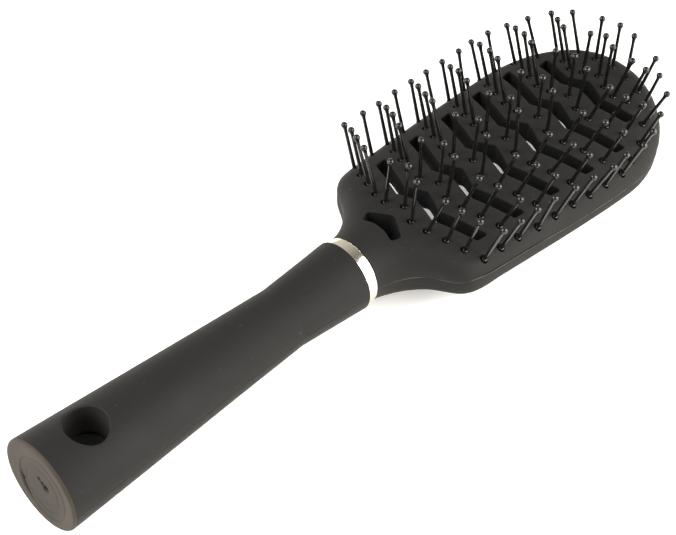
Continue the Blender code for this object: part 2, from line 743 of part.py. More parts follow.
def ring(group, look):
    """The band between handle and head."""
    inner = SPIGOT_RADIUS + FIT_CLEARANCE
    profile = [(RING_HEAD_RADIUS - RING_EDGE, RING_WIDTH), (RING_HEAD_RADIUS, RING_WIDTH - RING_EDGE),
               (RING_RADIUS, RING_EDGE), (RING_RADIUS - RING_EDGE, 0.0), (inner, 0.0),
               (inner, RING_WIDTH)]
    bm = bmesh.new()
    verts = [bm.verts.new((r, 0.0, z)) for r, z in profile]
    for k, vert in enumerate(verts):
        bm.edges.new((vert, verts[(k + 1) % len(verts)]))
    bmesh.ops.scale(bm, verts=bm.verts, vec=(MM, MM, MM))
    mesh = bpy.data.meshes.new("ferrule_ring")
    bm.to_mesh(mesh)
    bm.free()
    mesh.materials.append(material("ferrule_ring", look))
    obj = bpy.data.objects.new("ferrule_ring", mesh)
    group.objects.link(obj)
    place(obj, RING_X, AXIS_HEIGHT)
    obj.rotation_euler = (0.0, math.pi / 2, 0.0)
    modifier = obj.modifiers.new("turn", "SCREW")
    modifier.axis = "Z"
    modifier.steps = ROUND_STEPS
    modifier.render_steps = ROUND_STEPS
    modifier.use_merge_vertices = True
    modifier.merge_threshold = 0.00001
    modifier.use_smooth_shade = True
    return obj


def build():
    """Makes every piece of the brush."""
    for obj in list(bpy.data.objects):
        bpy.data.objects.remove(obj)
    group = collection("vent_brush")
    tools = collection("cutters")
    axis = bpy.data.objects.new("brush_axis", None)
    axis.location = (0.0, 0.0, AXIS_HEIGHT * MM)
    group.objects.link(axis)

    front = head_shell("front_plate", True, group, COAT)
    back = head_shell("back_shell", False, group, COAT)
    for shell, is_front in ((front, True), (back, False)):
        stub = half_round(SPIGOT_RADIUS, is_front, RING_X - SPIGOT_LENGTH, NECK_X + SPIGOT_ROOT,
                          PARTING_GAP / 2 + FACE_STEP)
        boolean(shell, add_object(shell.name + "_spigot", stub, tools), "UNION")
    front_tools = collection("front_plate_cutters", tools)
    pins = sum(LANDS, []) + TIP_ROW + RIMS[-1] + RIMS[1]
    add_object("pin_holes", joined([pin_hole(pin) for pin in pins]), front_tools)
    pocket_tools(front_tools)
    boolean(back, vent_tool(front_tools), "DIFFERENCE")
    cut_all(front, front_tools)

    comb("pin_comb_near", -1, group, tools, NYLON)
    comb("pin_comb_far", 1, group, tools, NYLON)
    for land in range(VENT_COUNT + 1):
        clip(f"pin_clip_{land + 1}", land, group, tools, NYLON)

    ring(group, CHROME)

    grip_tools = collection("grip_cutters", tools)
    cavity_tool(grip_tools)
    hole_tool(grip_tools)
    plug_seat_tool(grip_tools)
    cut_all(grip_half("grip_front", True, group, COAT), grip_tools)
    cut_all(grip_half("grip_back", False, group, COAT), grip_tools)
    end_plug(group, PLUG)


build()
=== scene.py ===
"""Dresses a vent brush for its portrait: a vented paddle head with ball-tipped pins, a bright ring
and an oval soft-touch handle, lying on its back on a white table.

Lengths are in millimetres in the row frame: +X from the handle's end to the head's tip, +Z up.
"""
import math

import bmesh
import bpy
import numpy as np
from mathutils import Matrix, Vector
from mathutils.geometry import delaunay_2d_cdt


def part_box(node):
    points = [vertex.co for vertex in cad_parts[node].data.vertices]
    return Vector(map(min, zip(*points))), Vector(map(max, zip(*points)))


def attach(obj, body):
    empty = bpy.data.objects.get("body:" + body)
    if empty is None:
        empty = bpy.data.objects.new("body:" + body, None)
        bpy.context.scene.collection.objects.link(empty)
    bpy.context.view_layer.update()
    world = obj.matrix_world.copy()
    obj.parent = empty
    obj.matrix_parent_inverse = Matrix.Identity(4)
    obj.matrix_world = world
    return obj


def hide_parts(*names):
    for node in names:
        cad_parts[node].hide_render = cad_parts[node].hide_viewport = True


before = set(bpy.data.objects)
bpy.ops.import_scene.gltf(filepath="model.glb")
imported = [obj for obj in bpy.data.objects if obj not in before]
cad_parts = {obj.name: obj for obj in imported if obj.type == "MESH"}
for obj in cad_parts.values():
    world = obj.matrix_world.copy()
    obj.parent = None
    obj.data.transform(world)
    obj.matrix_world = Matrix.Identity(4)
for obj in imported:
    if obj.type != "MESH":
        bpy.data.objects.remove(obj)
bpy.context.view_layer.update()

MM = 0.001


# Camera: a short telephoto lens that looks down on the brush from beyond the handle's near side.
# Its picture is 676 by 535, and the brush runs from the lower left to the upper right of it.

CAMERA_AZIMUTH = math.radians(-45.3)
CAMERA_ELEVATION = math.radians(46.67)
CAMERA_ROLL = math.radians(1.85)
CAMERA_DISTANCE = 433.82
CAMERA_TARGET = np.array([-14.31, -3.92, 23.4])
LENS = 85.2

sin_a, cos_a = math.sin(CAMERA_AZIMUTH), math.cos(CAMERA_AZIMUTH)
back = np.array([sin_a * math.cos(CAMERA_ELEVATION), -cos_a * math.cos(CAMERA_ELEVATION),
                 math.sin(CAMERA_ELEVATION)])
level = np.array([cos_a, sin_a, 0.0])
above = np.cross(back, level)
right = level * math.cos(CAMERA_ROLL) + above * math.sin(CAMERA_ROLL)
upward = np.cross(back, right)
place = (CAMERA_TARGET + back * CAMERA_DISTANCE) * MM


def new_object(name, data):
    """A new object in the scene that holds the data."""
    made = bpy.data.objects.new(name, data)
    bpy.context.scene.collection.objects.link(made)
    return made


camera = new_object("camera", bpy.data.cameras.new("camera"))
camera.data.sensor_width = 36.0
camera.data.lens = LENS
camera.data.clip_start = 0.01
camera.data.clip_end = 10.0
camera.matrix_world = Matrix(np.column_stack([right, upward, back, place]).tolist()).to_4x4()
bpy.context.scene.camera = camera


# Table and light: a white sweep that reads as pure white, a dim room that is lighter on the far side,
# and a tall soft box on either side of the camera, which put the two lights on every ball tip.

TABLE_SIZE = 4000.0
TABLE_WHITE = "#F7F7F6"
TABLE_GLOW = 0.3
ROOM_WHITE = "#FFFEF9"
ROOM_WAY = (-0.3, 1.0, 0.0)
ROOM_SPAN = (-0.2, 0.75)
ROOM_NEAR = 0.24
ROOM_FAR = 0.8
SOFT_BOX_DISTANCE = 900.0
SOFT_BOXES = (("left_box", (-0.74, 0.38, 0.58), (560.0, 700.0), 10.3, "#FFFFFF"),
              ("right_box", (0.50, -0.80, 0.31), (1000.0, 1300.0), 8.5, "#FFFAF4"))


def linear(code):
    """An sRGB hex colour as linear red, green and blue and a full alpha: c / 12.92 below 0.04045,
    else ((c + 0.055) / 1.055) to the power 2.4."""
    part = np.array([int(code[k:k + 2], 16) for k in (1, 3, 5)]) / 255.0
    return (*np.where(part <= 0.04045, part / 12.92, ((part + 0.055) / 1.055) ** 2.4), 1.0)


def feed(tree, node, inputs):
    """Gives a node's inputs their values, or links them to the sockets that feed them."""
    for name, value in inputs.items():
        if isinstance(value, bpy.types.NodeSocket):
            tree.links.new(value, node.inputs[name])
        else:
            node.inputs[name].default_value = value


def add_node(tree, kind, inputs, stops=None, **settings):
    """Adds one node: settings are its properties, inputs its values or the sockets that feed it, and
    stops, for a colour ramp, the places of its two colours."""
    made = tree.nodes.new(kind)
    for name, value in settings.items():
        setattr(made, name, value)
    feed(tree, made, inputs)
    for k, (place, code) in enumerate((stops or {}).items()):
        made.color_ramp.elements[k].position = place
        made.color_ramp.elements[k].color = linear(code)
    return made


def new_material(name):
    """A new material, its node tree, its shader, and the place on the object that patterns follow."""
    made = bpy.data.materials.new(name)
    made.use_nodes = True
    tree = made.node_tree
    at = add_node(tree, "ShaderNodeTexCoord", {}).outputs["Object"]
    return made, tree, tree.nodes["Principled BSDF"], at


def table_top():
    """A square of white paper: matt, and lit a little from within so that no shadow greys it."""
    paper, tree, shader, _ = new_material("white_paper_sweep")
    white = linear(TABLE_WHITE)
    feed(tree, shader, {"Base Color": white, "Roughness": 0.9, "Emission Color": white,
                        "Emission Strength": TABLE_GLOW})
    half = TABLE_SIZE / 2 * MM
    corners = [(-half, -half, 0.0), (half, -half, 0.0), (half, half, 0.0), (-half, half, 0.0)]
    mesh = bpy.data.meshes.new("table_top")
    mesh.from_pydata(corners, [], [(0, 1, 2, 3)])
    mesh.materials.append(paper)
    return new_object("table_top", mesh)


table_top()

room = bpy.data.worlds.new("white_room")
bpy.context.scene.world = room
room.use_nodes = True
sky = room.node_tree
around = add_node(sky, "ShaderNodeTexCoord", {}).outputs["Generated"]
side = add_node(sky, "ShaderNodeVectorMath", {0: around, 1: ROOM_WAY}, operation="DOT_PRODUCT")
glow = add_node(sky, "ShaderNodeMapRange", {
    "Value": side.outputs["Value"], "From Min": ROOM_SPAN[0], "From Max": ROOM_SPAN[1],
    "To Min": ROOM_NEAR, "To Max": ROOM_FAR})
feed(sky, sky.nodes["Background"], {"Color": linear(ROOM_WHITE), "Strength": glow.outputs["Result"]})
bpy.context.scene.view_settings.view_transform = "Standard"

for box_name, box_way, (box_width, box_height), radiance, box_colour in SOFT_BOXES:
    lamp = bpy.data.lights.new(box_name, "AREA")
    lamp.shape = "RECTANGLE"
    lamp.size = box_width * MM
    lamp.size_y = box_height * MM
    lamp.energy = radiance * math.pi * lamp.size * lamp.size_y
    lamp.color = linear(box_colour)[:3]
    soft_box = new_object(box_name, lamp)
    soft_box.location = Vector(box_way).normalized() * SOFT_BOX_DISTANCE * MM
    soft_box.rotation_euler = Vector(box_way).to_track_quat("Z", "Y").to_euler()


# Front plate: the crowned face of the paddle, in ABS with a soft-touch coat. Zigzag vents with
# rounded upper edges cross it, and each pin stands in a small round hole.

GAP = 0.3
SEAM = 0.04
CROWN_RADIUS = 60.0
PLATE_THICKNESS = 4.9
PLATE_EDGE_RADIUS = 4.0
PLATE_LIP = 0.08
NECK_RADIUS = 10.25
NECK_BLEND = 26.0
PARTING_DIP = 0.9
SEAM_RISE = 2.4
SEAM_RISE_TIP = 1.45
SEAM_RISE_FROM = 14.5
SEAM_RISE_REACH = 8.0
SEAM_FALL = (42.0, 22.0)
SEAM_RISE_INSET = 2.5
NECK_PULL = (4.7, 0.35)
NECK_TURN = (13.8, 18.4)
NECK_TURN_PULL = (3.6, 5.25)
SHOULDER = (28.1, 28.4)
SHOULDER_PULL = (11.0, 0.7)
WIDEST = 31.3
WIDEST_PULL = (15.0, 0.0)
TIP_LENGTH = 32.3
TIP_POWER = 2.15
TIP_TRIM = 0.6
RIM_SPACING = 0.5
PLATE_SPACING = 0.85
UNDER_SPACING = 3.0
PLATE_SHELF = 0.9
NECK_SHELF = 3.1
RIM_SHARES = (1.0, 0.8, 0.62, 0.46, 0.32, 0.2, 0.11, 0.05, 0.015, 0.0)
LATTICE_ROW = 0.866
LATTICE_CLEAR = 0.6
MERGE_DISTANCE = 2e-7
SHARP_ANGLE = 35.0
SPIGOT_RADIUS = 7.2
SPIGOT_LENGTH = 20.0
SPIGOT_ROOT = 0.5

ring_low, ring_high = (np.array(corner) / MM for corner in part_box("ferrule_ring"))
plate_high = np.array(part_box("front_plate")[1]) / MM
AXIS_Z = (ring_low[2] + ring_high[2]) / 2
NECK_X = ring_high[0] + GAP
TIP_X = plate_high[0] - TIP_TRIM
CROWN_Z = plate_high[2]


def evenly(points, spacing, closed=False):
    """Points at even steps of arc length along a polyline: both coordinates are interpolated over
    the running length."""
    if closed:
        points = np.concatenate([points, points[:1]])
    run = np.concatenate([[0.0], np.cumsum(np.linalg.norm(np.diff(points, axis=0), axis=1))])
    steps = np.linspace(0.0, run[-1], int(math.ceil(run[-1] / spacing)) + 1)
    even = np.stack([np.interp(steps, run, points[:, k]) for k in (0, 1)], 1)
    return even[:-1] if closed else even


def bezier(p0, p1, p2, p3):
    """Points of a cubic Bezier curve: the four points weighed by the Bernstein terms of t."""
    t = np.linspace(0.0, 1.0, 60, endpoint=False)[:, None]
    return ((1 - t) ** 3 * np.array(p0) + 3 * t * (1 - t) ** 2 * np.array(p1)
            + 3 * t * t * (1 - t) * np.array(p2) + t ** 3 * np.array(p3))


def half_outline():
    """The far half of the paddle's outline, neck to tip: three Bezier stretches, then a quarter of
    the superellipse with TIP_POWER."""
    start = np.array([NECK_X, NECK_RADIUS])
    turn = np.array([NECK_X + NECK_TURN[0], NECK_TURN[1]])
    shoulder = np.array([NECK_X + SHOULDER[0], SHOULDER[1]])
    widest = np.array([TIP_X - TIP_LENGTH, WIDEST])
    angle = np.linspace(0.0, math.pi / 2, 200)
    tip = np.stack([TIP_X - TIP_LENGTH * (1 - np.sin(angle) ** (2 / TIP_POWER)),
                    WIDEST * np.clip(np.cos(angle), 0, 1) ** (2 / TIP_POWER)], 1)
    tip[-1, 1] = 0.0
    return np.concatenate([bezier(start, start + NECK_PULL, turn - NECK_TURN_PULL, turn),
                           bezier(turn, turn + NECK_TURN_PULL, shoulder - SHOULDER_PULL, shoulder),
                           bezier(shoulder, shoulder + SHOULDER_PULL, widest - WIDEST_PULL, widest), tip])


far_rim = evenly(half_outline(), RIM_SPACING)
RIM = np.concatenate([far_rim, far_rim[-2::-1] * (1, -1)])
way_along = np.gradient(RIM, axis=0)
RIM_NORMAL = np.stack([-way_along[:, 1], way_along[:, 0]], 1)
RIM_NORMAL /= np.linalg.norm(RIM_NORMAL, axis=1)[:, None]
RIM_NORMAL[0] = (0.0, 1.0)
RIM_NORMAL[-1] = (0.0, -1.0)


def ease(t):
    """The smooth step 3t^2 - 2t^3 between 0 and 1."""
    t = np.clip(t, 0.0, 1.0)
    return t * t * (3.0 - 2.0 * t)


def half_width(x):
    """Half of the paddle's width at x, read off the far half of its outline."""
    return np.maximum(np.interp(x, far_rim[:, 0], far_rim[:, 1]), 0.01)


def rim_distance(x, y):
    """Distance to the outline: the least over its segments of the distance to each."""
    a, b = RIM[:-1], RIM[1:]
    step = b - a
    px, py = x[:, None] - a[:, 0], y[:, None] - a[:, 1]
    t = np.clip((px * step[:, 0] + py * step[:, 1]) / np.sum(step * step, axis=1), 0.0, 1.0)
    return np.hypot(px - t * step[:, 0], py - t * step[:, 1]).min(axis=1)


def edge_drop(inset, radius):
    """How far a quarter-round edge falls away at a distance in from the outline."""
    turn = np.clip(radius - inset, 0.0, radius)
    return radius - np.sqrt(radius ** 2 - turn ** 2)


def crown(y, depth, radius=CROWN_RADIUS):
    """The crowned face, or a surface that lies depth under it: a parabola across the paddle."""
    return CROWN_Z - depth - y * y / (2 * radius)


def parting(x, y, inset):
    """The surface where plate and shell meet: the axis height at the neck, eased into the crown with
    a dip in between. Along the paddle's rim it rises to the seam that shows on the rounded side."""
    m = ease((x - NECK_X) / NECK_BLEND)
    rise = SEAM_RISE + (SEAM_RISE_TIP - SEAM_RISE) * ease((x - NECK_X - SEAM_FALL[0]) / SEAM_FALL[1])
    rise = rise * ease((x - NECK_X - SEAM_RISE_FROM) / SEAM_RISE_REACH)
    rise = rise * (1 - ease(inset / SEAM_RISE_INSET))
    return (1 - m) * (AXIS_Z - 4 * PARTING_DIP * m) + m * crown(y, PLATE_THICKNESS) + rise


def plate_top(x, y, inset):
    """The plate's face: half a circle at the neck, eased into the crown with its rounded edge."""
    m = ease((x - NECK_X) / NECK_BLEND)
    share = np.clip(np.abs(y) / half_width(x), 0.0, 1.0)
    round_z = AXIS_Z + NECK_RADIUS * np.sqrt(1 - share ** 2)
    z = (1 - m) * round_z + m * (crown(y, 0.0) - edge_drop(inset, PLATE_EDGE_RADIUS))
    return np.maximum(z, parting(x, y, inset) + SEAM + PLATE_LIP)


def plate_under(x, y, inset):
    """The plate's underside, half a seam above the parting surface."""
    return parting(x, y, inset) + SEAM


def inside(points, loop):
    """Which points a closed loop holds: a ray to +X crosses its segments an odd number of times."""
    ax, ay = loop[:, 0], loop[:, 1]
    bx, by = np.roll(ax, -1), np.roll(ay, -1)
    x, y = points[:, :1], points[:, 1:]
    straddles = (ay > y) != (by > y)
    lean = np.where(by == ay, 1.0, by - ay)
    return (np.sum(straddles & (x < ax + (y - ay) * (bx - ax) / lean), axis=1) % 2).astype(bool)


def trimmed_sheet(outer, holes, spacing):
    """A flat sheet inside the outer loop with its holes left open: a lattice of triangles kept clear
    of all the loops, joined to their points by Delaunay triangles."""
    low, high = outer.min(axis=0), outer.max(axis=0)
    columns = np.arange(low[0], high[0], spacing)
    rows = np.arange(low[1], high[1], spacing * LATTICE_ROW)
    lattice = np.stack(np.meshgrid(columns, rows, indexing="ij"), -1)
    lattice[:, 1::2, 0] += spacing / 2
    lattice = lattice.reshape(-1, 2)
    lattice = lattice[inside(lattice, outer)]
    for loop in [outer] + holes:
        apart = np.hypot(lattice[:, :1] - loop[:, 0], lattice[:, 1:] - loop[:, 1]).min(axis=1)
        lattice = lattice[apart > LATTICE_CLEAR * spacing]
    for loop in holes:
        lattice = lattice[~inside(lattice, loop)]
    edges, start = [], 0
    for loop in [outer] + holes:
        at = np.arange(start, start + len(loop))
        edges += np.stack([at, np.roll(at, -1)], 1).tolist()
        start += len(loop)
    flat = np.concatenate([outer] + holes + [lattice])
    found = delaunay_2d_cdt([Vector(p) for p in flat.tolist()], edges, [], 0, 1e-7)
    points = np.array([tuple(p) for p in found[0]])
    faces = np.array(found[2])
    middle = points[faces].mean(axis=1)
    keep = inside(middle, outer)
    for loop in holes:
        keep &= ~inside(middle, loop)
    return points, faces[keep]


def grid_faces(rows, columns, closed):
    """The four-cornered faces of a grid of points, row after row; a closed one joins its ends."""
    at = np.arange(rows * columns).reshape(rows, columns)
    after = np.roll(at, -1, axis=1)
    if not closed:
        at, after = at[:, :-1], after[:, :-1]
    return np.stack([at[:-1], after[:-1], after[1:], at[1:]], -1).reshape(-1, 4)


def strip(rows, closed=True):
    """A skin through rows of points, each as long as the next."""
    rows = np.array(rows)
    return rows.reshape(-1, 3), grid_faces(rows.shape[0], rows.shape[1], closed)


def lifted(plan, heights):
    """Plan points with their heights."""
    return np.column_stack([plan, heights])


def raised(plan, height):
    """Plan points raised to a height that is a function of x, y and the distance to the rim."""
    return lifted(plan, height(plan[:, 0], plan[:, 1], rim_distance(plan[:, 0], plan[:, 1])))


def paddle_sheet(outer, holes, spacing, height):
    """A trimmed sheet raised to a face of the paddle."""
    flat, faces = trimmed_sheet(outer, holes, spacing)
    return raised(flat, height), faces


def rim_strip(shelf, height, lip, seam_side):
    """The rim from the sheet's edge outwards: rows at shrinking insets, then the lip at the seam."""
    rows = []
    for share in RIM_SHARES:
        plan = RIM - RIM_NORMAL * (shelf * share)[:, None]
        rows.append(lifted(plan, height(plan[:, 0], plan[:, 1], shelf * share)))
    for turn in (0.0, 0.5, 1.0):
        inset = lip * (1 - math.cos(turn * math.pi / 2))
        rise = lip * (1 - math.sin(turn * math.pi / 2)) + SEAM
        plan = RIM - RIM_NORMAL * inset
        rows.append(lifted(plan, parting(plan[:, 0], plan[:, 1], inset) + seam_side * rise))
    return strip(rows, closed=False)


def neck_line(reach):
    """Points straight across the neck's end, from the near side to the far side."""
    y = np.linspace(-reach, reach, 30)[1:-1]
    return np.stack([np.full_like(y, NECK_X), y], 1)


def edge_loop(shelf):
    """The sheet's outer loop: the outline drawn in by the shelf, closed across the neck's end."""
    drawn = RIM - RIM_NORMAL * (shelf if np.ndim(shelf) == 0 else shelf[:, None])
    return np.concatenate([drawn, neck_line(drawn[0, 1])])


def spigot(side):
    """Half of the stub that holds ring and handle: half a round, carried along the axis."""
    turn = np.linspace(0.0, math.pi, 33)
    y, up = SPIGOT_RADIUS * np.cos(turn), np.maximum(SPIGOT_RADIUS * np.sin(turn), SEAM)
    ends = (ring_low[0] - SPIGOT_LENGTH, NECK_X + SPIGOT_ROOT)
    return strip([np.column_stack([np.full_like(y, x), y, AXIS_Z + side * up]) for x in ends])


def put(name, parts, paints, slot, *nodes):
    """Joins skins into one closed piece, in metres, that stands for CAD nodes and rides on the root:
    doubles are merged, open ends filled, and the faces turned outwards. A skin's third entry, where
    it has one, says which of the paints it wears."""
    points = np.concatenate([part[0] for part in parts]) * MM
    faces, worn, start = [], [], 0
    for part in parts:
        faces += (part[1] + start).tolist()
        worn += [part[2] if len(part) > 2 else 0] * len(part[1])
        start += len(part[0])
    mesh = bpy.data.meshes.new(name)
    mesh.from_pydata(points.tolist(), [], faces)
    for each in paints:
        mesh.materials.append(each)
    mesh.polygons.foreach_set("material_index", worn)
    bm = bmesh.new()
    bm.from_mesh(mesh)
    bmesh.ops.remove_doubles(bm, verts=bm.verts, dist=MERGE_DISTANCE)
    bmesh.ops.dissolve_degenerate(bm, edges=bm.edges, dist=MERGE_DISTANCE)
    bmesh.ops.holes_fill(bm, edges=[edge for edge in bm.edges if edge.is_boundary], sides=0)
    bmesh.ops.recalc_face_normals(bm, faces=bm.faces)
    bm.to_mesh(mesh)
    bm.free()
    mesh.shade_smooth()
    mesh.set_sharp_from_angle(angle=math.radians(SHARP_ANGLE))
    piece = new_object(name, mesh)
    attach(piece, "root")
    if nodes:
        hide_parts(*nodes)


VENT_COUNT = 6
FIRST_LAND_FROM_NECK = 20.1
LAST_LAND_FROM_TIP = 11.8
FIRST_LAND = NECK_X + FIRST_LAND_FROM_NECK
LAND_PITCH = (TIP_X - LAST_LAND_FROM_TIP - FIRST_LAND) / VENT_COUNT
VENT_WIDTH = 4.25
VENT_APEX = (2.65, -2.3)
VENT_TURNS = ((6.4, 5.8), (7.2, 8.4))
VENT_VALLEY_X = -2.4
VENT_VALLEY_Y = 6.8
VENT_VALLEY_SHIFTS = (-0.2, 0.1)
VENT_LEG_SLOPE = 0.44
VENT_END_CORNERS = ((1, 0.0, -0.2), (1, -0.5, 0.3), (-1, 0.4, 0.0), (-1, 0.0, -0.6))
VENT_END_INSETS = (8.5, 8.5, 8.5, 8.4, 8.4, 9.7)
VENT_SETBACKS = (0.0, 0.0, 0.0, 0.0, 0.45, 1.35)
VENT_DRIFT = ((0.3, 0.3), (-0.4, -0.4))
VENT_SPACING = 0.3
VENT_FILLET = 0.3
VENT_CORNER = 0.45
VENT_CORNER_SHARE = 0.45
NECK_VENT_FROM_LAND = 7.6
NECK_VENT_HALF = ((3.3, 0.0), (3.15, 0.7), (-0.3, 6.6), (-0.9, 6.7), (-3.15, 5.8), (-3.35, 5.2),
                  (-2.45, 1.9))


def rounded(corners):
    """A loop with each corner rounded by a quadratic Bezier curve between points on its two sides."""
    sides = []
    for other in (np.roll(corners, 1, axis=0), np.roll(corners, -1, axis=0)):
        length = np.linalg.norm(other - corners, axis=1)[:, None]
        cut = np.minimum(VENT_CORNER, VENT_CORNER_SHARE * length)
        sides.append(corners + (other - corners) / length * cut)
    t = np.linspace(0.0, 1.0, 7)[None, :, None]
    before, after = sides[0][:, None], sides[1][:, None]
    return ((1 - t) ** 2 * before + 2 * t * (1 - t) * corners[:, None] + t * t * after).reshape(-1, 2)


def vent_loop(vent):
    """One zigzag vent seen from the front: legs of one slope between the apex, a valley on either
    side of it and the two ends, which drift a little. An end's corners are given by their edge of the
    leg, 1 towards the tip, and their shifts along and across the brush."""
    middle = FIRST_LAND + (vent + 0.5) * LAND_PITCH
    half = VENT_WIDTH / 2
    end_y = float(half_width(middle + VENT_WIDTH)) - VENT_END_INSETS[vent]
    end_x = VENT_VALLEY_X + VENT_LEG_SLOPE * (end_y - VENT_VALLEY_Y) - VENT_SETBACKS[vent]
    end = [(end_x + edge * half + along, end_y + across) for edge, along, across in VENT_END_CORNERS]
    right_x = VENT_VALLEY_X + half + VENT_VALLEY_SHIFTS[0]
    left_x = VENT_VALLEY_X - half + VENT_VALLEY_SHIFTS[1]
    far, near = ([(right_x, right_y), *end, (left_x, left_y)] for right_y, left_y in VENT_TURNS)
    corners = [(VENT_APEX[0], 0.0)] + far + [(VENT_APEX[1], 0.0)] + [(x, -y) for x, y in near[::-1]]
    loop = evenly(rounded(np.array(corners) + (middle, 0.0)), VENT_SPACING, closed=True)
    share = ease((np.abs(loop[:, 1:]) - VENT_VALLEY_Y) / (end_y - VENT_VALLEY_Y))
    return loop + share * np.where(loop[:, 1:] > 0, VENT_DRIFT[0], VENT_DRIFT[1])


def neck_vent_loop():
    """The arrow-shaped vent at the neck: the corners of its far half, then the same ones mirrored."""
    upper = np.array(NECK_VENT_HALF)
    loop = np.concatenate([upper, upper[:0:-1] * (1, -1)]) + (FIRST_LAND - NECK_VENT_FROM_LAND, 0.0)
    return evenly(rounded(loop), VENT_SPACING, closed=True)


VENTS = [vent_loop(vent) for vent in range(VENT_COUNT)] + [neck_vent_loop()]


def grown(loop, amount):
    """A loop moved outwards along its normals, whichever way round it runs."""
    along = np.roll(loop, -1, axis=0) - np.roll(loop, 1, axis=0)
    normal = np.stack([along[:, 1], -along[:, 0]], 1) / np.linalg.norm(along, axis=1)[:, None]
    turned = np.sum(loop[:, 0] * np.roll(loop[:, 1], -1) - np.roll(loop[:, 0], -1) * loop[:, 1])
    return loop + math.copysign(amount, turned) * normal


def vent_wall(loop, face, side, bottom):
    """A vent's wall: a quarter-round at the face, then straight to the parting surface and bare of paint,
    in the ABS whose reflection is turned down to paint the shade down the vent. side is 1 where the face
    is on top and -1 where it is underneath."""
    rows = []
    for turn in np.linspace(0.0, math.pi / 2, 5):
        row = raised(grown(loop, VENT_FILLET * (1 - math.sin(turn))), face)
        row[:, 2] -= side * VENT_FILLET * (1 - math.cos(turn))
        rows.append(row)
    wall = lifted(loop, bottom(loop[:, 0], loop[:, 1], SEAM_RISE_INSET))
    # Paint 1 is the bare ABS that paints the shade on the vent's straight wall.
    return [strip(rows), (*strip([rows[-1], wall]), 1)]


SIDE_TILT = math.radians(18.3)
CENTRE_TILT = math.radians(1.5)
PIN_HEIGHT = 15.35
LAND_EDGE_INSETS = (2.7, 2.7, 2.5, 2.4, 2.4, 4.6, 7.7)
LAND_STEPS = (5, 5, 5, 5, 5, 5, 4)
LAND_SETBACKS = (0.0, 0.0, 0.0, 0.0, 0.0, 1.0, 2.0)
APEX_PIN_X = -0.35
VALLEY_PIN_X = -2.9
OUTER_PIN_X = -1.9
OUTER_PIN_STEPS = (2.3, 2.5, 2.7, 2.8, 2.9, 2.55, 2.3)
RIM_EDGE_INSETS = (2.6, 2.4, 2.6, 2.5, 3.4, 6.4)
RIM_PIN_XS = (5.95, 6.25, 6.6, 6.45, 5.4, 3.35)
TIP_ROW_FROM_LAND = 6.5
TIP_ROW_SPACING = 5.9
TIP_ROW_SWEEP = 1.0
PIN_HOLE_RADIUS = 1.1
PIN_HOLE_DEPTH = 1.7
PIN_HOLE_LIP = 0.2
PIN_HOLE_SHIFT = np.array([-0.2, 0.2])


def land_pins(land):
    """A land's pins, one row each of x, y, step, two leans and reach, the last three still empty:
    even steps across the land, set back towards the rim."""
    steps, setback, spread = LAND_STEPS[land], LAND_SETBACKS[land], OUTER_PIN_STEPS[land]
    step = np.arange(-steps, steps + 1)
    x = OUTER_PIN_X + spread * (np.abs(step) - 2) - setback
    x = np.where(np.abs(step) == 1, VALLEY_PIN_X, np.where(step == 0, APEX_PIN_X, x))
    x += FIRST_LAND + land * LAND_PITCH
    span = half_width(x[-1]) - LAND_EDGE_INSETS[land]
    return np.stack([x, span * step / steps, step, *np.zeros((3, len(x)))], 1)


def tip_pins():
    """The short row between the last land and the tip."""
    step = np.arange(-2, 3)
    x = FIRST_LAND + VENT_COUNT * LAND_PITCH + TIP_ROW_FROM_LAND - TIP_ROW_SWEEP * np.abs(step)
    return np.stack([x, TIP_ROW_SPACING * step, step, *np.zeros((3, len(x)))], 1)


def rim_pins(side):
    """The pins beyond the vents' ends on one side."""
    x = FIRST_LAND + (np.arange(VENT_COUNT) + 0.5) * LAND_PITCH + np.array(RIM_PIN_XS)
    y = side * (half_width(x) - np.array(RIM_EDGE_INSETS))
    return np.stack([x, y, np.full_like(x, 2 * side), *np.zeros((3, len(x)))], 1)


LAND_ROWS = [land_pins(land) for land in range(VENT_COUNT + 1)]
TIP_ROW = tip_pins()
NEAR_RIM, FAR_RIM = rim_pins(-1), rim_pins(1)
PIN_ROWS = LAND_ROWS + [TIP_ROW, NEAR_RIM, FAR_RIM]

# No two pins of the real brush stand quite alike. The tables have a line for each row: how far its
# pins stand off their places, in tenths of a millimetre, their own leans in half degrees, and how
# much taller than PIN_HEIGHT they are, in hundredths of it.
STAND_ALONG = (
    13, 6, 7, 8, 8, 9, 10, 8, 7, 6, 4,
    -1, 2, 4, 5, 6, 8, 9, 7, 6, 4, 3,
    -3, 0, 2, 4, 5, 6, 8, 6, 5, 3, 1,
    -5, -1, 1, 3, 4, 5, 7, 5, 3, 1, 0,
    -7, -3, 0, 1, 2, 3, 5, 3, 2, -1, -2,
    -5, -3, -1, 0, 1, 2, 4, 2, 1, -1, -3,
    -3, -2, -1, -1, 0, 2, 1, 0, -2,
    -2, -2, -1, 1, -1,
    -1, -3, -4, -6, -6, -4,
    3, 2, 0, -1, -3, -2)
STAND_ACROSS = (
    -1, -4, -3, 0, 2, 4, 6, 0, 1, 1, 1,
    3, 3, 2, 1, 1, 3, 6, 0, 1, 1, 1,
    3, 3, 2, 0, 0, 3, 6, 0, 1, 1, 2,
    3, 2, 1, 0, 0, 2, 5, 1, 1, 1, 2,
    2, 2, 0, -1, -1, 1, 4, 1, 1, 1, 2,
    1, 0, -1, -2, -1, 1, 3, 1, 1, 2, 1,
    -1, -2, -4, -2, 0, 2, 0, 1, 2,
    -3, -3, 0, 2, 1,
    4, 3, 3, 2, 2, 0,
    1, 1, 2, 2, 1, 2)
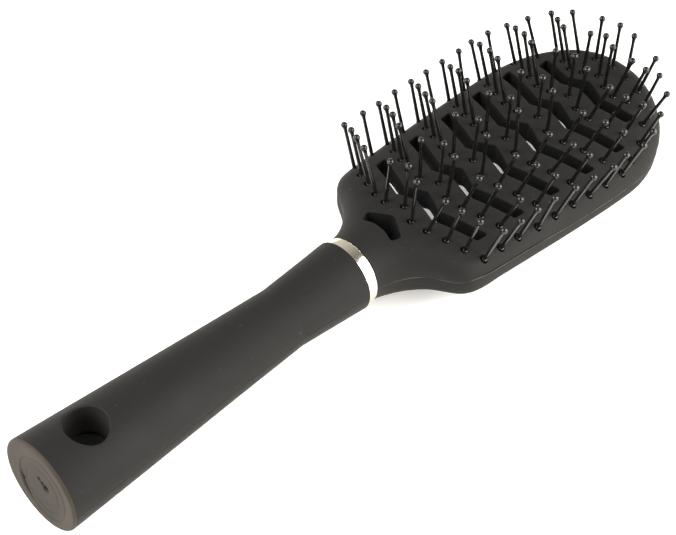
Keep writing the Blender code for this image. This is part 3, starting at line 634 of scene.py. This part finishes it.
LEAN_ALONG = (
    3, -4, -2, 4, 2, 2, 4, -4, -3, -3, -5,
    0, 0, 0, 0, 7, -1, -7, -6, -2, -3, -8,
    1, 0, 2, 1, -1, 2, -3, -3, -7, -7, -8,
    5, -4, 2, -2, 0, -1, -5, -3, -3, -10, -11,
    -1, 0, 0, -2, -1, -4, -5, -2, -5, -9, -15,
    -2, -2, -3, 4, 4, -2, 0, -5, -3, -7, -16,
    -3, -1, 8, 1, 0, 1, -7, -7, -7,
    -2, 5, 2, 0, -7,
    0, -4, -1, 1, -1, 6,
    -6, -9, -13, -8, -12, -16)
LEAN_ACROSS = (
    -1, 3, 3, -1, -1, -1, -7, 2, 3, -2, -5,
    -1, -6, 2, 1, -1, -3, -5, -1, -1, -6, -10,
    -1, -1, -2, 0, 1, -1, -2, 2, -4, -7, -11,
    -6, -1, -7, -1, 9, 0, -4, -4, -4, -11, -13,
    -2, -1, -5, -2, 4, 0, -2, 0, -4, -4, -10,
    1, 1, -1, 0, -4, 0, 0, -3, -4, -5, -9,
    9, 7, 11, 2, 0, -5, -3, -4, -5,
    9, 6, 2, -1, -4,
    -4, 4, -3, 1, -1, -3,
    -8, -9, -11, -14, -10, -3)
REACH = (
    0, 0, 0, 1, 0, 0, 0, 0, 0, -1, -2,
    0, 0, 0, 0, 1, -1, -2, -2, -1, -2, -4,
    0, 0, 0, 0, 0, 0, -1, 0, -3, -3, -4,
    1, -1, 0, 0, 1, 0, -1, -2, -2, -5, -5,
    0, 0, 0, 0, 0, -1, -1, -1, -2, -3, -5,
    0, 0, -1, 1, 0, 0, 0, -2, -2, -3, -5,
    0, 0, 2, 0, 0, -1, -3, -3, -3,
    0, 2, 1, 0, -3,
    0, 0, 0, 0, 0, 1,
    -3, -4, -5, -5, -5, -4)

first = 0
for row in PIN_ROWS:
    here = slice(first, first + len(row))
    first += len(row)
    row[:, 0] += np.array(STAND_ALONG[here]) / 10
    row[:, 1] += np.array(STAND_ACROSS[here]) / 10
    row[:, 3] = np.radians(np.array(LEAN_ALONG[here]) / 2)
    row[:, 4] = np.radians(np.array(LEAN_ACROSS[here]) / 2)
    row[:, 5] = PIN_HEIGHT * (1 + np.array(REACH[here]) / 100)
ALL_PINS = np.concatenate(PIN_ROWS)


def whole_turn(count):
    """Angles at even steps all the way round."""
    return np.linspace(0.0, 2 * math.pi, count, endpoint=False)


def hole_ring(pin, radius):
    """A circle round a pin's hole, seen from the front. The pins stand a little off centre."""
    turn = whole_turn(20)
    return pin[:2] + PIN_HOLE_SHIFT + radius * np.stack([np.cos(turn), np.sin(turn)], 1)


def pin_hole(pin):
    """The hole that a pin stands in: a quarter-round edge, a straight wall and a floor, the last two bare
    of paint, in the ABS whose reflection is turned down to paint the shade in the hole."""
    rows = []
    for turn in np.linspace(0.0, math.pi / 2, 5):
        row = raised(hole_ring(pin, PIN_HOLE_RADIUS + PIN_HOLE_LIP * (1 - math.sin(turn))), plate_top)
        row[:, 2] -= PIN_HOLE_LIP * (1 - math.cos(turn))
        rows.append(row)
    wall = lifted(rows[-1][:, :2], rows[-1][:, 2] - PIN_HOLE_DEPTH)
    middle = lifted(hole_ring(pin, 0.0), wall[:, 2])
    # Paint 1 is the bare ABS that paints the shade on the hole's wall and floor.
    return [strip(rows), (*strip([rows[-1], wall, middle]), 1)]


def soft_touch_paint():
    """Soft-touch rubber paint on ABS, sprayed and baked: near black, and never quite matt. The spray
    leaves an orange peel, drawn 0.35 mm wide so that it shows, and handling leaves cloudy patches some
    22 mm wide. It gathers dust, as specks 5.5 mm apart and fainter ones 3.2 mm apart, and shows faint
    slanting scuffs, 12 mm apart lengthwise and 2.8 mm across."""
    paint, tree, shader, at = new_material("soft_touch_rubber_paint_on_abs")
    cloud = add_node(tree, "ShaderNodeTexNoise", {"Vector": at, "Scale": 1000 / 22, "Detail": 3.0})
    grain = add_node(tree, "ShaderNodeTexNoise", {"Vector": at, "Scale": 1000 / 0.35, "Detail": 2.0})
    tint = add_node(tree, "ShaderNodeValToRGB", {"Fac": cloud.outputs["Fac"]},
                    stops={0.3: "#0D0D0D", 0.7: "#111110"})
    drawn = add_node(tree, "ShaderNodeMapping", {
        "Vector": at, "Rotation": (0.0, 0.4, 0.5), "Scale": (1000 / 12, 1000 / 2.8, 1000 / 2.8)})
    marks = 0.0
    for where, scale, core, edge, strength in ((at, 1000 / 5.5, 0.022, 0.036, 0.55),
                                               (at, 1000 / 3.2, 0.03, 0.05, 0.3),
                                               (drawn.outputs["Vector"], 1.0, 0.04, 0.08, 0.11)):
        cell = add_node(tree, "ShaderNodeTexVoronoi", {"Vector": where, "Scale": scale})
        mark = add_node(tree, "ShaderNodeMapRange", {
            "Value": cell.outputs["Distance"], "From Min": core, "From Max": edge,
            "To Min": strength, "To Max": 0.0})
        marks = add_node(tree, "ShaderNodeMath", {0: marks, 1: mark.outputs["Result"]},
                         operation="MAXIMUM").outputs["Value"]
    dusty = add_node(tree, "ShaderNodeMix", {
        "Factor": marks, "A": tint.outputs["Color"], "B": linear("#6A6661")}, data_type="RGBA")
    sheen = add_node(tree, "ShaderNodeMapRange", {
        "Value": cloud.outputs["Fac"], "From Min": 0.3, "From Max": 0.7, "To Min": 0.7, "To Max": 0.8})
    peel = add_node(tree, "ShaderNodeBump", {
        "Height": grain.outputs["Fac"], "Strength": 0.12, "Distance": 0.02 * MM})
    feed(tree, shader, {
        "Base Color": dusty.outputs["Result"], "Roughness": sheen.outputs["Result"],
        "Normal": peel.outputs["Normal"], "IOR": 1.34, "Sheen Weight": 0.05, "Sheen Roughness": 0.5,
        "Sheen Tint": linear("#E8DACB")})
    return paint


def bare_abs_and_painted_shade():
    """The same ABS where no paint reaches, down the vents and the pins' holes: black, with the satin of
    the mould, which clouds every 3 mm or so. Its reflection is turned down almost to nothing, so that it
    paints the shade down in those recesses."""
    black, tree, shader, at = new_material("bare_black_abs_and_painted_shade")
    haze = add_node(tree, "ShaderNodeTexNoise", {"Vector": at, "Scale": 1000 / 3.0, "Detail": 3.0})
    satin = add_node(tree, "ShaderNodeMapRange", {
        "Value": haze.outputs["Fac"], "From Min": 0.3, "From Max": 0.7, "To Min": 0.75, "To Max": 0.9})
    # Painted shade: a reflection level of 0.05 keeps these walls as dark as the shade that falls in them.
    feed(tree, shader, {"Base Color": linear("#171717"), "Roughness": satin.outputs["Result"],
                        "Specular IOR Level": 0.05})
    return black


# bare is the bare ABS that also paints the shade down the vents and in the pins' holes.
coat, bare = soft_touch_paint(), bare_abs_and_painted_shade()
plate_shelf = PLATE_SHELF + NECK_SHELF * (1 - ease((RIM[:, 0] - NECK_X) / NECK_BLEND))
plate_holes = [grown(loop, VENT_FILLET) for loop in VENTS]
plate_holes += [hole_ring(pin, PIN_HOLE_RADIUS + PIN_HOLE_LIP) for pin in ALL_PINS]
plate_parts = [
    paddle_sheet(edge_loop(plate_shelf), plate_holes, PLATE_SPACING, plate_top),
    rim_strip(plate_shelf, plate_top, PLATE_LIP, 1.0),
    paddle_sheet(edge_loop(PLATE_LIP), VENTS, UNDER_SPACING, plate_under)]
for loop in VENTS:
    plate_parts += vent_wall(loop, plate_top, 1.0, plate_under)
for pin in ALL_PINS:
    plate_parts += pin_hole(pin)
put("crowned_front_plate", plate_parts + [spigot(1.0)], [coat, bare], "coat", "front_plate")


# Back shell: the other half of the paddle, moulded with the neck and the lower half of the spigot,
# in the same coated ABS. The vents run through it, mostly a little wider than in the plate.

HEAD_THICKNESS = 8.4
SHELL_EDGE_RADIUS = 3.1
SHELL_LIP = 0.22
SHELL_VENT_EXTRAS = (0.55, 0.5, 0.4, 0.5, 0.5, -0.3, 0.55)
SHELL_LEG_EXTRAS = (0.3, 0.6, 0.9, 0.9, 0.8, 0.0, 0.0)
SHELL_LEG_Y = -4.0
SHELL_LEG_HALF = 4.0
SHELL_SHELF = 3.6
SHELL_SPACING = 1.1
SHELL_HOLLOWING = 0.6
NECK_BACK_HEIGHT = 9.3
NECK_BACK_REACH = 12.0
NECK_BACK_POWER = 3.4
SHOULDER_DEPTH = 2.1
SHOULDER_FADE = 34.0
SHELL_CURVE = 55.0


def shell_face(x, y, inset):
    """The shell's outer face: a flattened round at the neck, eased into a curve like the crown's a
    head's thickness lower, hollowed a little along the middle. Beside the neck it keeps the
    shoulder's arch and is set deeper."""
    width = half_width(x)
    share = np.clip(np.abs(y) / width, 0.0, 1.0)
    soft = ease((x - NECK_X) / NECK_BACK_REACH)
    tall = NECK_RADIUS + (NECK_BACK_HEIGHT - NECK_RADIUS) * soft
    power = 2.0 + (NECK_BACK_POWER - 2.0) * soft
    round_z = AXIS_Z - tall * (1 - share ** power) ** (1 / power)
    widening = np.where(x < NECK_X + SHOULDER[0], np.maximum(1.0, SHOULDER[1] / width), 1.0)
    deeper = SHOULDER_DEPTH * (1 - ease((x - NECK_X) / SHOULDER_FADE)) * share ** 2
    deeper = deeper - SHELL_HOLLOWING * (1 - share ** 2)
    flat_z = crown(y * widening, HEAD_THICKNESS + deeper, SHELL_CURVE)
    flat_z = flat_z + edge_drop(inset, SHELL_EDGE_RADIUS)
    m = ease((x - NECK_X) / NECK_BLEND)
    return np.minimum((1 - m) * round_z + m * flat_z, parting(x, y, inset) - SEAM - SHELL_LIP)


def shell_top(x, y, inset):
    """The shell's inner side, half a seam below the parting surface."""
    return parting(x, y, inset) - SEAM


# Each vent is the plate's, grown by its own amount and by another one along its near leg.
shell_shelf = np.full(len(RIM), SHELL_SHELF)
shell_vents = []
for loop, extra, leg_extra in zip(VENTS, SHELL_VENT_EXTRAS, SHELL_LEG_EXTRAS):
    on_leg = np.exp(-((loop[:, 1:] - SHELL_LEG_Y) / SHELL_LEG_HALF) ** 4)
    shell_vents.append(loop + (grown(loop, 1.0) - loop) * (extra + leg_extra * on_leg))
shell_holes = [grown(loop, VENT_FILLET) for loop in shell_vents]
shell_parts = [
    paddle_sheet(edge_loop(shell_shelf), shell_holes, SHELL_SPACING, shell_face),
    rim_strip(shell_shelf, shell_face, SHELL_LIP, -1.0),
    paddle_sheet(edge_loop(SHELL_LIP), shell_vents, UNDER_SPACING, shell_top)]
for loop in shell_vents:
    shell_parts += vent_wall(loop, shell_face, -1.0, shell_top)
put("ribbed_back_shell", shell_parts + [spigot(-1.0)], [coat, bare], "coat", "back_shell")


# Parting edge: where plate and shell meet, a hair-fine edge stands just proud of both, coloured in dark
# stretches and pale ones. It is part of the paddle's coat.

EDGE_BEAD = 0.065


def parting_bead():
    """A thin bead of six sides carried along the outline, at the height of the parting surface."""
    height = parting(RIM[:, 0], RIM[:, 1], 0.0)
    sides = [lifted(RIM + RIM_NORMAL * EDGE_BEAD * math.cos(turn), height + EDGE_BEAD * math.sin(turn))
             for turn in whole_turn(6)]
    return strip(np.stack(sides, 1))


def parting_edge_paint():
    """The parting edge's colour: dark stretches and pale ones, some 6 mm long."""
    worn, tree, shader, at = new_material("pale_and_dark_parting_edge_paint")
    stretch = add_node(tree, "ShaderNodeTexNoise", {"Vector": at, "Scale": 1000 / 6.0, "Detail": 3.0})
    # Colour only along the edge: dark and pale stretches that make a pale line at the seam.
    tint = add_node(tree, "ShaderNodeValToRGB", {"Fac": stretch.outputs["Fac"]},
                    stops={0.38: "#1C1A19", 0.62: "#5F5952"})
    feed(tree, shader, {"Base Color": tint.outputs["Color"], "Roughness": 0.6})
    return worn


put("parting_edge_bead", [parting_bead()], [parting_edge_paint()], "coat")


# Pins: glossy nylon, moulded in one with the bars that hold them under the plate. Each has a round
# foot in its hole, a slender shaft that flares under the ball, and a ball tip. The side pins lean
# outwards, and every pin leans a little its own way.

PIN_FOOT_RADIUS = 0.8
PIN_FOOT_EDGE = 0.14
PIN_FOOT_TOP = 0.02
PIN_FOOT_STEP = 0.06
PIN_BASE_RADIUS = 0.58
PIN_BALL_RADIUS = 1.0
PIN_FLARE = ((-1.9, 0.51), (-1.2, 0.53), (-0.7, 0.57), (-0.3, 0.64), (0.0, 0.72))
PIN_SIDES = 18
BAR_TOP = 2.5
BAR_BOTTOM = 4.75
BAR_HALF_WIDTH = 1.7
RAIL_HALF_WIDTH = 1.3
BAR_OVERHANG = 0.9
ROOT_DEPTH = (BAR_TOP + BAR_BOTTOM) / 2


def pin_axes(pins):
    """Each pin's base on the plate and its direction: tilted across the brush, plus its own leans."""
    outer = np.abs(pins[:, 2]) > 1
    tilt = np.where(outer, np.sign(pins[:, 2]) * SIDE_TILT, pins[:, 2] * CENTRE_TILT)
    base = raised(pins[:, :2], plate_top)
    along, across = np.sin(pins[:, 3]), np.sin(tilt + pins[:, 4])
    return base, np.stack([along, across, np.sqrt(1 - along ** 2 - across ** 2)], 1)


def pin_profile(reach):
    """Heights and radii of a turned pin: root, foot with a rounded edge, tapered shaft with a flare
    under the ball, and ball."""
    turn = np.linspace(0.0, math.pi / 2, 5)
    foot = np.stack([PIN_FOOT_TOP - PIN_FOOT_EDGE * (1 - np.sin(turn)),
                     PIN_FOOT_RADIUS - PIN_FOOT_EDGE * (1 - np.cos(turn))], 1)
    foot = np.concatenate([foot, [[PIN_FOOT_TOP + PIN_FOOT_STEP, PIN_BASE_RADIUS]]])
    leave = math.asin(PIN_FLARE[-1][1] / PIN_BALL_RADIUS)
    ball_turn = np.linspace(math.pi - leave, 0.0, 12)
    ball = np.stack([reach + PIN_BALL_RADIUS * np.cos(ball_turn), PIN_BALL_RADIUS * np.sin(ball_turn)], 1)
    neck = np.array(PIN_FLARE[:-1]) + (ball[0, 0], 0.0)
    root = np.array([[-ROOT_DEPTH, 0.0], [-ROOT_DEPTH, PIN_FOOT_RADIUS]])
    return np.concatenate([root, foot, neck, ball])


def turned_pins(pins):
    """The profile carried round each pin's axis: base + height along it + radius across it."""
    base, way = pin_axes(pins)
    height, radius = np.moveaxis(np.array([pin_profile(reach) for reach in pins[:, 5]]), 2, 0)
    turn = whole_turn(PIN_SIDES)
    across = np.array([1.0, 0.0, 0.0])
    over = np.cross(way, across)
    over /= np.linalg.norm(over, axis=1)[:, None]
    round_way = np.cos(turn)[:, None] * across + np.sin(turn)[:, None] * over[:, None, :]
    centre = base[:, None, :] + height[:, :, None] * way[:, None, :]
    points = centre[:, :, None, :] + radius[:, :, None, None] * round_way[:, None, :, :]
    return [strip(pin) for pin in points]


def roots(pins):
    """Where the pins' axes meet the middle of the bars under the plate."""
    base, way = pin_axes(pins)
    fall = ROOT_DEPTH - (crown(base[:, 1], 0.0) - base[:, 2])
    return (base - way * (fall / way[:, 2])[:, None])[:, :2]


def bar(path, half, first=0.0, last=0.0):
    """A rectangular bar along a plan path, drawn out at its ends, its faces parallel to the crown."""
    path = np.array(path)
    path[0] += (path[0] - path[1]) / np.linalg.norm(path[0] - path[1]) * first
    path[-1] += (path[-1] - path[-2]) / np.linalg.norm(path[-1] - path[-2]) * last
    along = np.gradient(path, axis=0)
    aside = np.stack([-along[:, 1], along[:, 0]], 1) / np.linalg.norm(along, axis=1)[:, None] * half
    left, other = path + aside, path - aside
    corners = [lifted(plan, crown(plan[:, 1], depth)) for plan, depth in
               ((left, BAR_TOP), (other, BAR_TOP), (other, BAR_BOTTOM), (left, BAR_BOTTOM))]
    return strip(np.stack(corners, 1))


def glossy_nylon():
    """Nylon, injection moulded in a polished tool and filled black: a clean gloss, softened a little
    by flow marks 1.6 mm wide and 16 mm long that run up the shafts."""
    nylon, tree, shader, at = new_material("glossy_black_nylon")
    drawn = add_node(tree, "ShaderNodeMapping", {
        "Vector": at, "Scale": (1000 / 1.6, 1000 / 1.6, 1000 / 16)})
    flow = add_node(tree, "ShaderNodeTexNoise", {
        "Vector": drawn.outputs["Vector"], "Scale": 1.0, "Detail": 2.0})
    gloss = add_node(tree, "ShaderNodeMapRange", {
        "Value": flow.outputs["Fac"], "From Min": 0.3, "From Max": 0.7, "To Min": 0.08, "To Max": 0.11})
    tint = add_node(tree, "ShaderNodeValToRGB", {"Fac": flow.outputs["Fac"]},
                    stops={0.0: "#0D0C0C", 1.0: "#171615"})
    feed(tree, shader, {"Base Color": tint.outputs["Color"], "Roughness": gloss.outputs["Result"],
                        "IOR": 1.56, "Specular IOR Level": 0.36})
    return nylon


nylon = glossy_nylon()
for side_name, side, rim in (("near", -1, NEAR_RIM), ("far", 1, FAR_RIM)):
    rows = [row[row[:, 2] * side > 1] for row in LAND_ROWS]
    rows = [row[np.argsort(-np.abs(row[:, 1]))] for row in rows]
    rim_row = np.concatenate([row[:1] for row in rows] + [rim, TIP_ROW[TIP_ROW[:, 2] * side > 1]])
    rim_row = rim_row[np.argsort(rim_row[:, 0])]
    comb_pins = np.concatenate(rows + [rim, TIP_ROW[TIP_ROW[:, 2] * side > 1]])
    comb = [bar(roots(rim_row), RAIL_HALF_WIDTH, BAR_OVERHANG, BAR_OVERHANG)]
    comb += [bar(roots(row), BAR_HALF_WIDTH, 0.0, BAR_OVERHANG) for row in rows]
    comb += turned_pins(comb_pins)
    put(f"outer_pins_{side_name}", comb, [nylon], "nylon", f"pin_comb_{side_name}")

for land, row in enumerate(LAND_ROWS):
    middle_pins = row[np.abs(row[:, 2]) < 2]
    width = BAR_HALF_WIDTH
    path = roots(middle_pins)
    if land == VENT_COUNT:
        tip_middle = TIP_ROW[np.abs(TIP_ROW[:, 2]) < 2]
        width += float(np.max(roots(tip_middle)[:, 0] - path[:, 0])) / 2
        path = np.stack([(path[:, 0] + roots(tip_middle)[:, 0]) / 2, roots(tip_middle)[:, 1]], 1)
        middle_pins = np.concatenate([middle_pins, tip_middle])
    clip = [bar(path, width, BAR_OVERHANG, BAR_OVERHANG)] + turned_pins(middle_pins)
    put(f"middle_pins_{land + 1}", clip, [nylon], "nylon", f"pin_clip_{land + 1}")


# Ring: a narrow tapered band between handle and neck, ABS with bright chrome plating, threaded on
# the spigot. Its edges are hardly broken, and the plating carries the turned marks of the part.

RING_EDGE = 0.03
RING_FAR_EDGE = 0.02
RING_NARROW = 0.35


def turned_ring():
    """The band's profile, carried round the brush's axis: a straight taper between two quarter-round
    edges, and a bore that clears the spigot."""
    radius = (ring_high[2] - ring_low[2]) / 2
    width = ring_high[0] - ring_low[0]
    turn = np.linspace(0.0, math.pi / 2, 5)
    entry = np.stack([RING_EDGE * (1 - np.sin(turn)), radius - RING_EDGE * (1 - np.cos(turn))], 1)[::-1]
    leave = np.stack([width - RING_FAR_EDGE * (1 - np.sin(turn)),
                      radius - RING_NARROW - RING_FAR_EDGE * (1 - np.cos(turn))], 1)
    outer = np.concatenate([entry, leave[::-1]])
    inner = np.array([[width, SPIGOT_RADIUS + GAP], [0.0, SPIGOT_RADIUS + GAP]])
    profile = np.concatenate([outer, inner, outer[:1]])
    around = whole_turn(160)
    rows = [np.column_stack([np.full_like(around, ring_low[0] + x), r * np.cos(around),
                             AXIS_Z + r * np.sin(around)]) for x, r in profile]
    return strip(rows)


def chrome_plating():
    """Decorative chrome over nickel on ABS: a warm mirror, blurred a little across fine turned marks
    about 0.3 mm apart, which run 50 mm round the ring."""
    plating, tree, shader, at = new_material("chrome_plated_abs")
    drawn = add_node(tree, "ShaderNodeMapping", {
        "Vector": at, "Scale": (1000 / 0.3, 1000 / 50, 1000 / 50)})
    marks = add_node(tree, "ShaderNodeTexNoise", {
        "Vector": drawn.outputs["Vector"], "Scale": 1.0, "Detail": 2.0})
    blur = add_node(tree, "ShaderNodeMapRange", {
        "Value": marks.outputs["Fac"], "To Min": 0.13, "To Max": 0.22})
    turned = add_node(tree, "ShaderNodeBump", {
        "Height": marks.outputs["Fac"], "Strength": 0.02, "Distance": 0.01 * MM})
    feed(tree, shader, {"Base Color": linear("#E6DDCB"), "Metallic": 1.0,
                        "Roughness": blur.outputs["Result"], "Normal": turned.outputs["Normal"]})
    return plating


put("chrome_ring", [turned_ring()], [chrome_plating()], "chrome", "ferrule_ring")


# Grip: two half shells of coated ABS that meet at the axis height. The oval tapers to a waist and
# flares to the ring. A hanging hole with a rounded rim runs through it near the tail, coated too.

TAIL_HALF_WIDTH = 14.1
TAIL_HALF_HEIGHT = AXIS_Z
HANDLE_TAPER = 0.0602
FLARE_SLOPE = 0.072
WAIST_BLEND = 0.9
GRIP_END_RADIUS = 10.85
TAIL_SLANT = 0.075
PLUG_FLANGE = 0.85
PLUG_GAP = 0.08
RING_GAP = 0.08
TAIL_X = -plate_high[0]
END_X = TAIL_X + TAIL_SLANT * TAIL_HALF_HEIGHT
GRIP_X = END_X + PLUG_FLANGE + PLUG_GAP
RING_X = ring_low[0]
HOLE_FROM_TAIL = 16.0
HOLE_RADIUS = 5.9
HOLE_STRETCH = 1.07
HOLE_RIM = 0.7
HOLE_X = TAIL_X + HOLE_FROM_TAIL
GRIP_SPACING = 1.0
PARTING_SPACING = 4.0
ARC_SCALE = 12.5


def grip_size(x):
    """Half width and half height of the grip at x: the taper and the flare, joined by a soft
    maximum, with the height eased from the oval tail to the round end."""
    from_tail = np.maximum(x - END_X, 0.0)
    to_ring = np.maximum(RING_X - x, 0.0)
    taper = TAIL_HALF_WIDTH - HANDLE_TAPER * from_tail
    flare = GRIP_END_RADIUS - FLARE_SLOPE * to_ring
    wide = WAIST_BLEND * np.log(np.exp(taper / WAIST_BLEND) + np.exp(flare / WAIST_BLEND))
    share = from_tail / (RING_X - END_X)
    wide = wide - WAIST_BLEND * np.exp(-np.abs(taper - flare) / WAIST_BLEND) * math.log(2.0) * share
    squash = TAIL_HALF_HEIGHT / TAIL_HALF_WIDTH
    return wide, wide * (squash + (1 - squash) * share)


def slanted(x, up):
    """How far the tail's slant moves a point, fading towards the hole."""
    return TAIL_SLANT * up * (1.0 - ease((x - END_X) / (2 * HOLE_FROM_TAIL)))


def on_grip(x, turn, side):
    """Points of the grip's oval: x along it, turn round it from the far parting to the near one."""
    wide, tall = grip_size(x)
    up = side * np.maximum(tall * np.sin(turn), SEAM)
    return np.column_stack([x + slanted(x, up), wide * np.cos(turn), AXIS_Z + up])


def hole_plan(radius):
    """The hanging hole's outline at a radius: a circle, a little wider across the brush."""
    turn = whole_turn(72)
    return np.stack([HOLE_X + radius * np.cos(turn), HOLE_STRETCH * radius * np.sin(turn)], 1)


def hole_turn(plan):
    """Where plan points lie round the oval."""
    return np.arccos(np.clip(plan[:, 1] / grip_size(plan[:, 0])[0], -1.0, 1.0))


def grip_shell(side):
    """One half of the grip: its skin with the hole left open, the hole's rounded rim and bore, and
    the flat parting face. The skin is a flat sheet of x and arc, rolled round the oval."""
    x = np.arange(GRIP_X, RING_X - RING_GAP, GRIP_SPACING)
    x[-1] = RING_X - RING_GAP
    arc = np.linspace(0.0, math.pi * ARC_SCALE, 40)
    outer = np.concatenate([np.stack([x, np.zeros_like(x)], 1)[:-1],
                            np.stack([np.full_like(arc, x[-1]), arc], 1)[:-1],
                            np.stack([x[::-1], np.full_like(x, arc[-1])], 1)[:-1],
                            np.stack([np.full_like(arc, x[0]), arc[::-1]], 1)[:-1]])
    edge = hole_plan(HOLE_RADIUS + HOLE_RIM)
    hole = np.stack([edge[:, 0], hole_turn(edge) * ARC_SCALE], 1)
    flat, faces = trimmed_sheet(outer, [hole], GRIP_SPACING)
    parts = [(on_grip(flat[:, 0], flat[:, 1] / ARC_SCALE, side), faces)]
    rows = []
    for turn in np.linspace(0.0, math.pi / 2, 7):
        plan = hole_plan(HOLE_RADIUS + HOLE_RIM * (1 - math.sin(turn)))
        skin = on_grip(plan[:, 0], hole_turn(plan), side)
        skin[:, 2] -= side * HOLE_RIM * (1 - math.cos(turn))
        rows.append(skin)
    bore = rows[-1].copy()
    bore[:, 2] = AXIS_Z + side * SEAM
    parts.append(strip(rows + [bore]))
    rim = on_grip(outer[:, 0], outer[:, 1] / ARC_SCALE, side)
    sides = rim[np.abs(rim[:, 2] - AXIS_Z) < 2 * SEAM]
    order = np.argsort(np.arctan2(sides[:, 1], sides[:, 0] - np.mean(sides[:, 0])))
    flat, faces = trimmed_sheet(sides[order][:, :2], [bore[:, :2]], PARTING_SPACING)
    parts.append((lifted(flat, np.full(len(flat), AXIS_Z + side * SEAM)), faces))
    return parts


put("upper_grip_shell", grip_shell(1.0), [coat], "coat", "grip_front")
put("lower_grip_shell", grip_shell(-1.0), [coat], "coat", "grip_back")


# End plug: a flat oval cap in uncoated warm grey ABS, pressed into the tail. A rounded band runs
# round it, and inside that a shallow round groove, cut deep on one side, and a fainter one surround
# the disc, where moulding left pits.

PLUG_EDGE_RADIUS = 0.8
PLUG_BOSS_INSET = 3.2
PLUG_BOSS_DEPTH = 4.4
PLUG_COLUMNS = 144
PLUG_CENTRE = 0.05
PLUG_DISC_RADIUS = 9.1
PLUG_DISC_Y = -1.3
PLUG_DISC_DEPTH = 0.12
PLUG_GROOVE = (0.26, 1.0, 0.38)
PLUG_INNER_GROOVE = (0.09, 0.72, 0.4)
PLUG_OPEN = (-32.0, 22.0)
PLUG_OPEN_GROOVE = (0.9, 1.0, 0.45)
PLUG_PITS = ((-2.5, 1.1, 0.9, 2.4), (0.2, 2.6, 0.5, 1.2), (-1.2, 1.9, 0.6, 1.5), (6.8, -2.6, 0.55, 0.6))


def plug_row(x, inset):
    """A ring of points on the plug's oval at x, inset from its edge."""
    wide, tall = grip_size(np.array(GRIP_X))
    turn = whole_turn(PLUG_COLUMNS)
    y = (wide - inset) * np.cos(turn)
    up = (tall - inset) * np.sin(turn)
    return np.column_stack([x + TAIL_SLANT * up, y, AXIS_Z + up])


def plug_relief(row):
    """How deep the face lies at each point: a slightly sunken disc with bell-shaped grooves round it
    and on it, one of them only along an arc, and the pits, which are steep round dips."""
    y, up = row[:, 1], row[:, 2] - AXIS_Z
    out = np.hypot(y - PLUG_DISC_Y, up)
    lean = np.degrees(np.arctan2(up, y - PLUG_DISC_Y))
    on_arc = np.exp(-((lean - PLUG_OPEN[0]) / PLUG_OPEN[1]) ** 4)
    deep = PLUG_DISC_DEPTH * ease(PLUG_DISC_RADIUS - out)
    for groove, where in ((PLUG_GROOVE, 1.0), (PLUG_INNER_GROOVE, 1.0), (PLUG_OPEN_GROOVE, on_arc)):
        depth, share, width = groove
        deep += depth * where * np.exp(-((out - share * PLUG_DISC_RADIUS) / width) ** 2)
    for pit_y, pit_up, size, depth in PLUG_PITS:
        deep += depth * np.exp(-(np.hypot(y - pit_y, up - pit_up) / size) ** 4)
    return deep


def oval_plug():
    """The plug: face with its relief, rounded band, flange and boss, carried round its oval."""
    rows = []
    tall = float(grip_size(np.array(GRIP_X))[1])
    for inset in np.linspace(tall - PLUG_CENTRE, PLUG_EDGE_RADIUS, 80):
        row = plug_row(END_X, inset)
        row[:, 0] += plug_relief(row)
        rows.append(row)
    for turn in np.linspace(0.0, math.pi / 2, 7)[1:]:
        rows.append(plug_row(END_X + PLUG_EDGE_RADIUS * (1 - math.cos(turn)),
                             PLUG_EDGE_RADIUS * (1 - math.sin(turn))))
    inner = END_X + PLUG_FLANGE
    rows += [plug_row(inner, 0.0), plug_row(inner, PLUG_BOSS_INSET),
             plug_row(inner + PLUG_BOSS_DEPTH, PLUG_BOSS_INSET)]
    return strip(rows)


def grey_abs():
    """ABS, moulded in a fine-sparked tool and left bare: a satin warm grey, clouded every 7 mm or so, with
    a grain drawn 0.3 mm wide so that it shows. The disc is painted darker than the band, as painted shade."""
    abs_grey, tree, shader, at = new_material("uncoated_grey_abs")
    cloud = add_node(tree, "ShaderNodeTexNoise", {"Vector": at, "Scale": 1000 / 7.0, "Detail": 4.0})
    grain = add_node(tree, "ShaderNodeTexNoise", {"Vector": at, "Scale": 1000 / 0.3, "Detail": 2.0})
    tint = add_node(tree, "ShaderNodeValToRGB", {"Fac": cloud.outputs["Fac"]},
                    stops={0.3: "#322B24", 0.7: "#3A322A"})
    spark = add_node(tree, "ShaderNodeBump", {
        "Height": grain.outputs["Fac"], "Strength": 0.2, "Distance": 0.02 * MM})
    # Painted shade: inside the band the colour falls to 0.72 of itself across the disc.
    out = add_node(tree, "ShaderNodeVectorMath", {0: at, 1: (END_X * MM, PLUG_DISC_Y * MM, AXIS_Z * MM)},
                   operation="DISTANCE")
    shade = add_node(tree, "ShaderNodeMapRange", {
        "Value": out.outputs["Value"], "From Min": 0.8 * PLUG_DISC_RADIUS * MM,
        "From Max": 1.1 * PLUG_DISC_RADIUS * MM, "To Min": 0.72, "To Max": 1.0})
    shaded = add_node(tree, "ShaderNodeVectorMath", {0: tint.outputs["Color"], 1: shade.outputs["Result"]},
                      operation="MULTIPLY")
    feed(tree, shader, {"Base Color": shaded.outputs["Vector"], "Normal": spark.outputs["Normal"],
                        "Roughness": 0.62, "IOR": 1.3})
    return abs_grey


put("oval_end_plug", [oval_plug()], [grey_abs()], "plug", "end_plug")
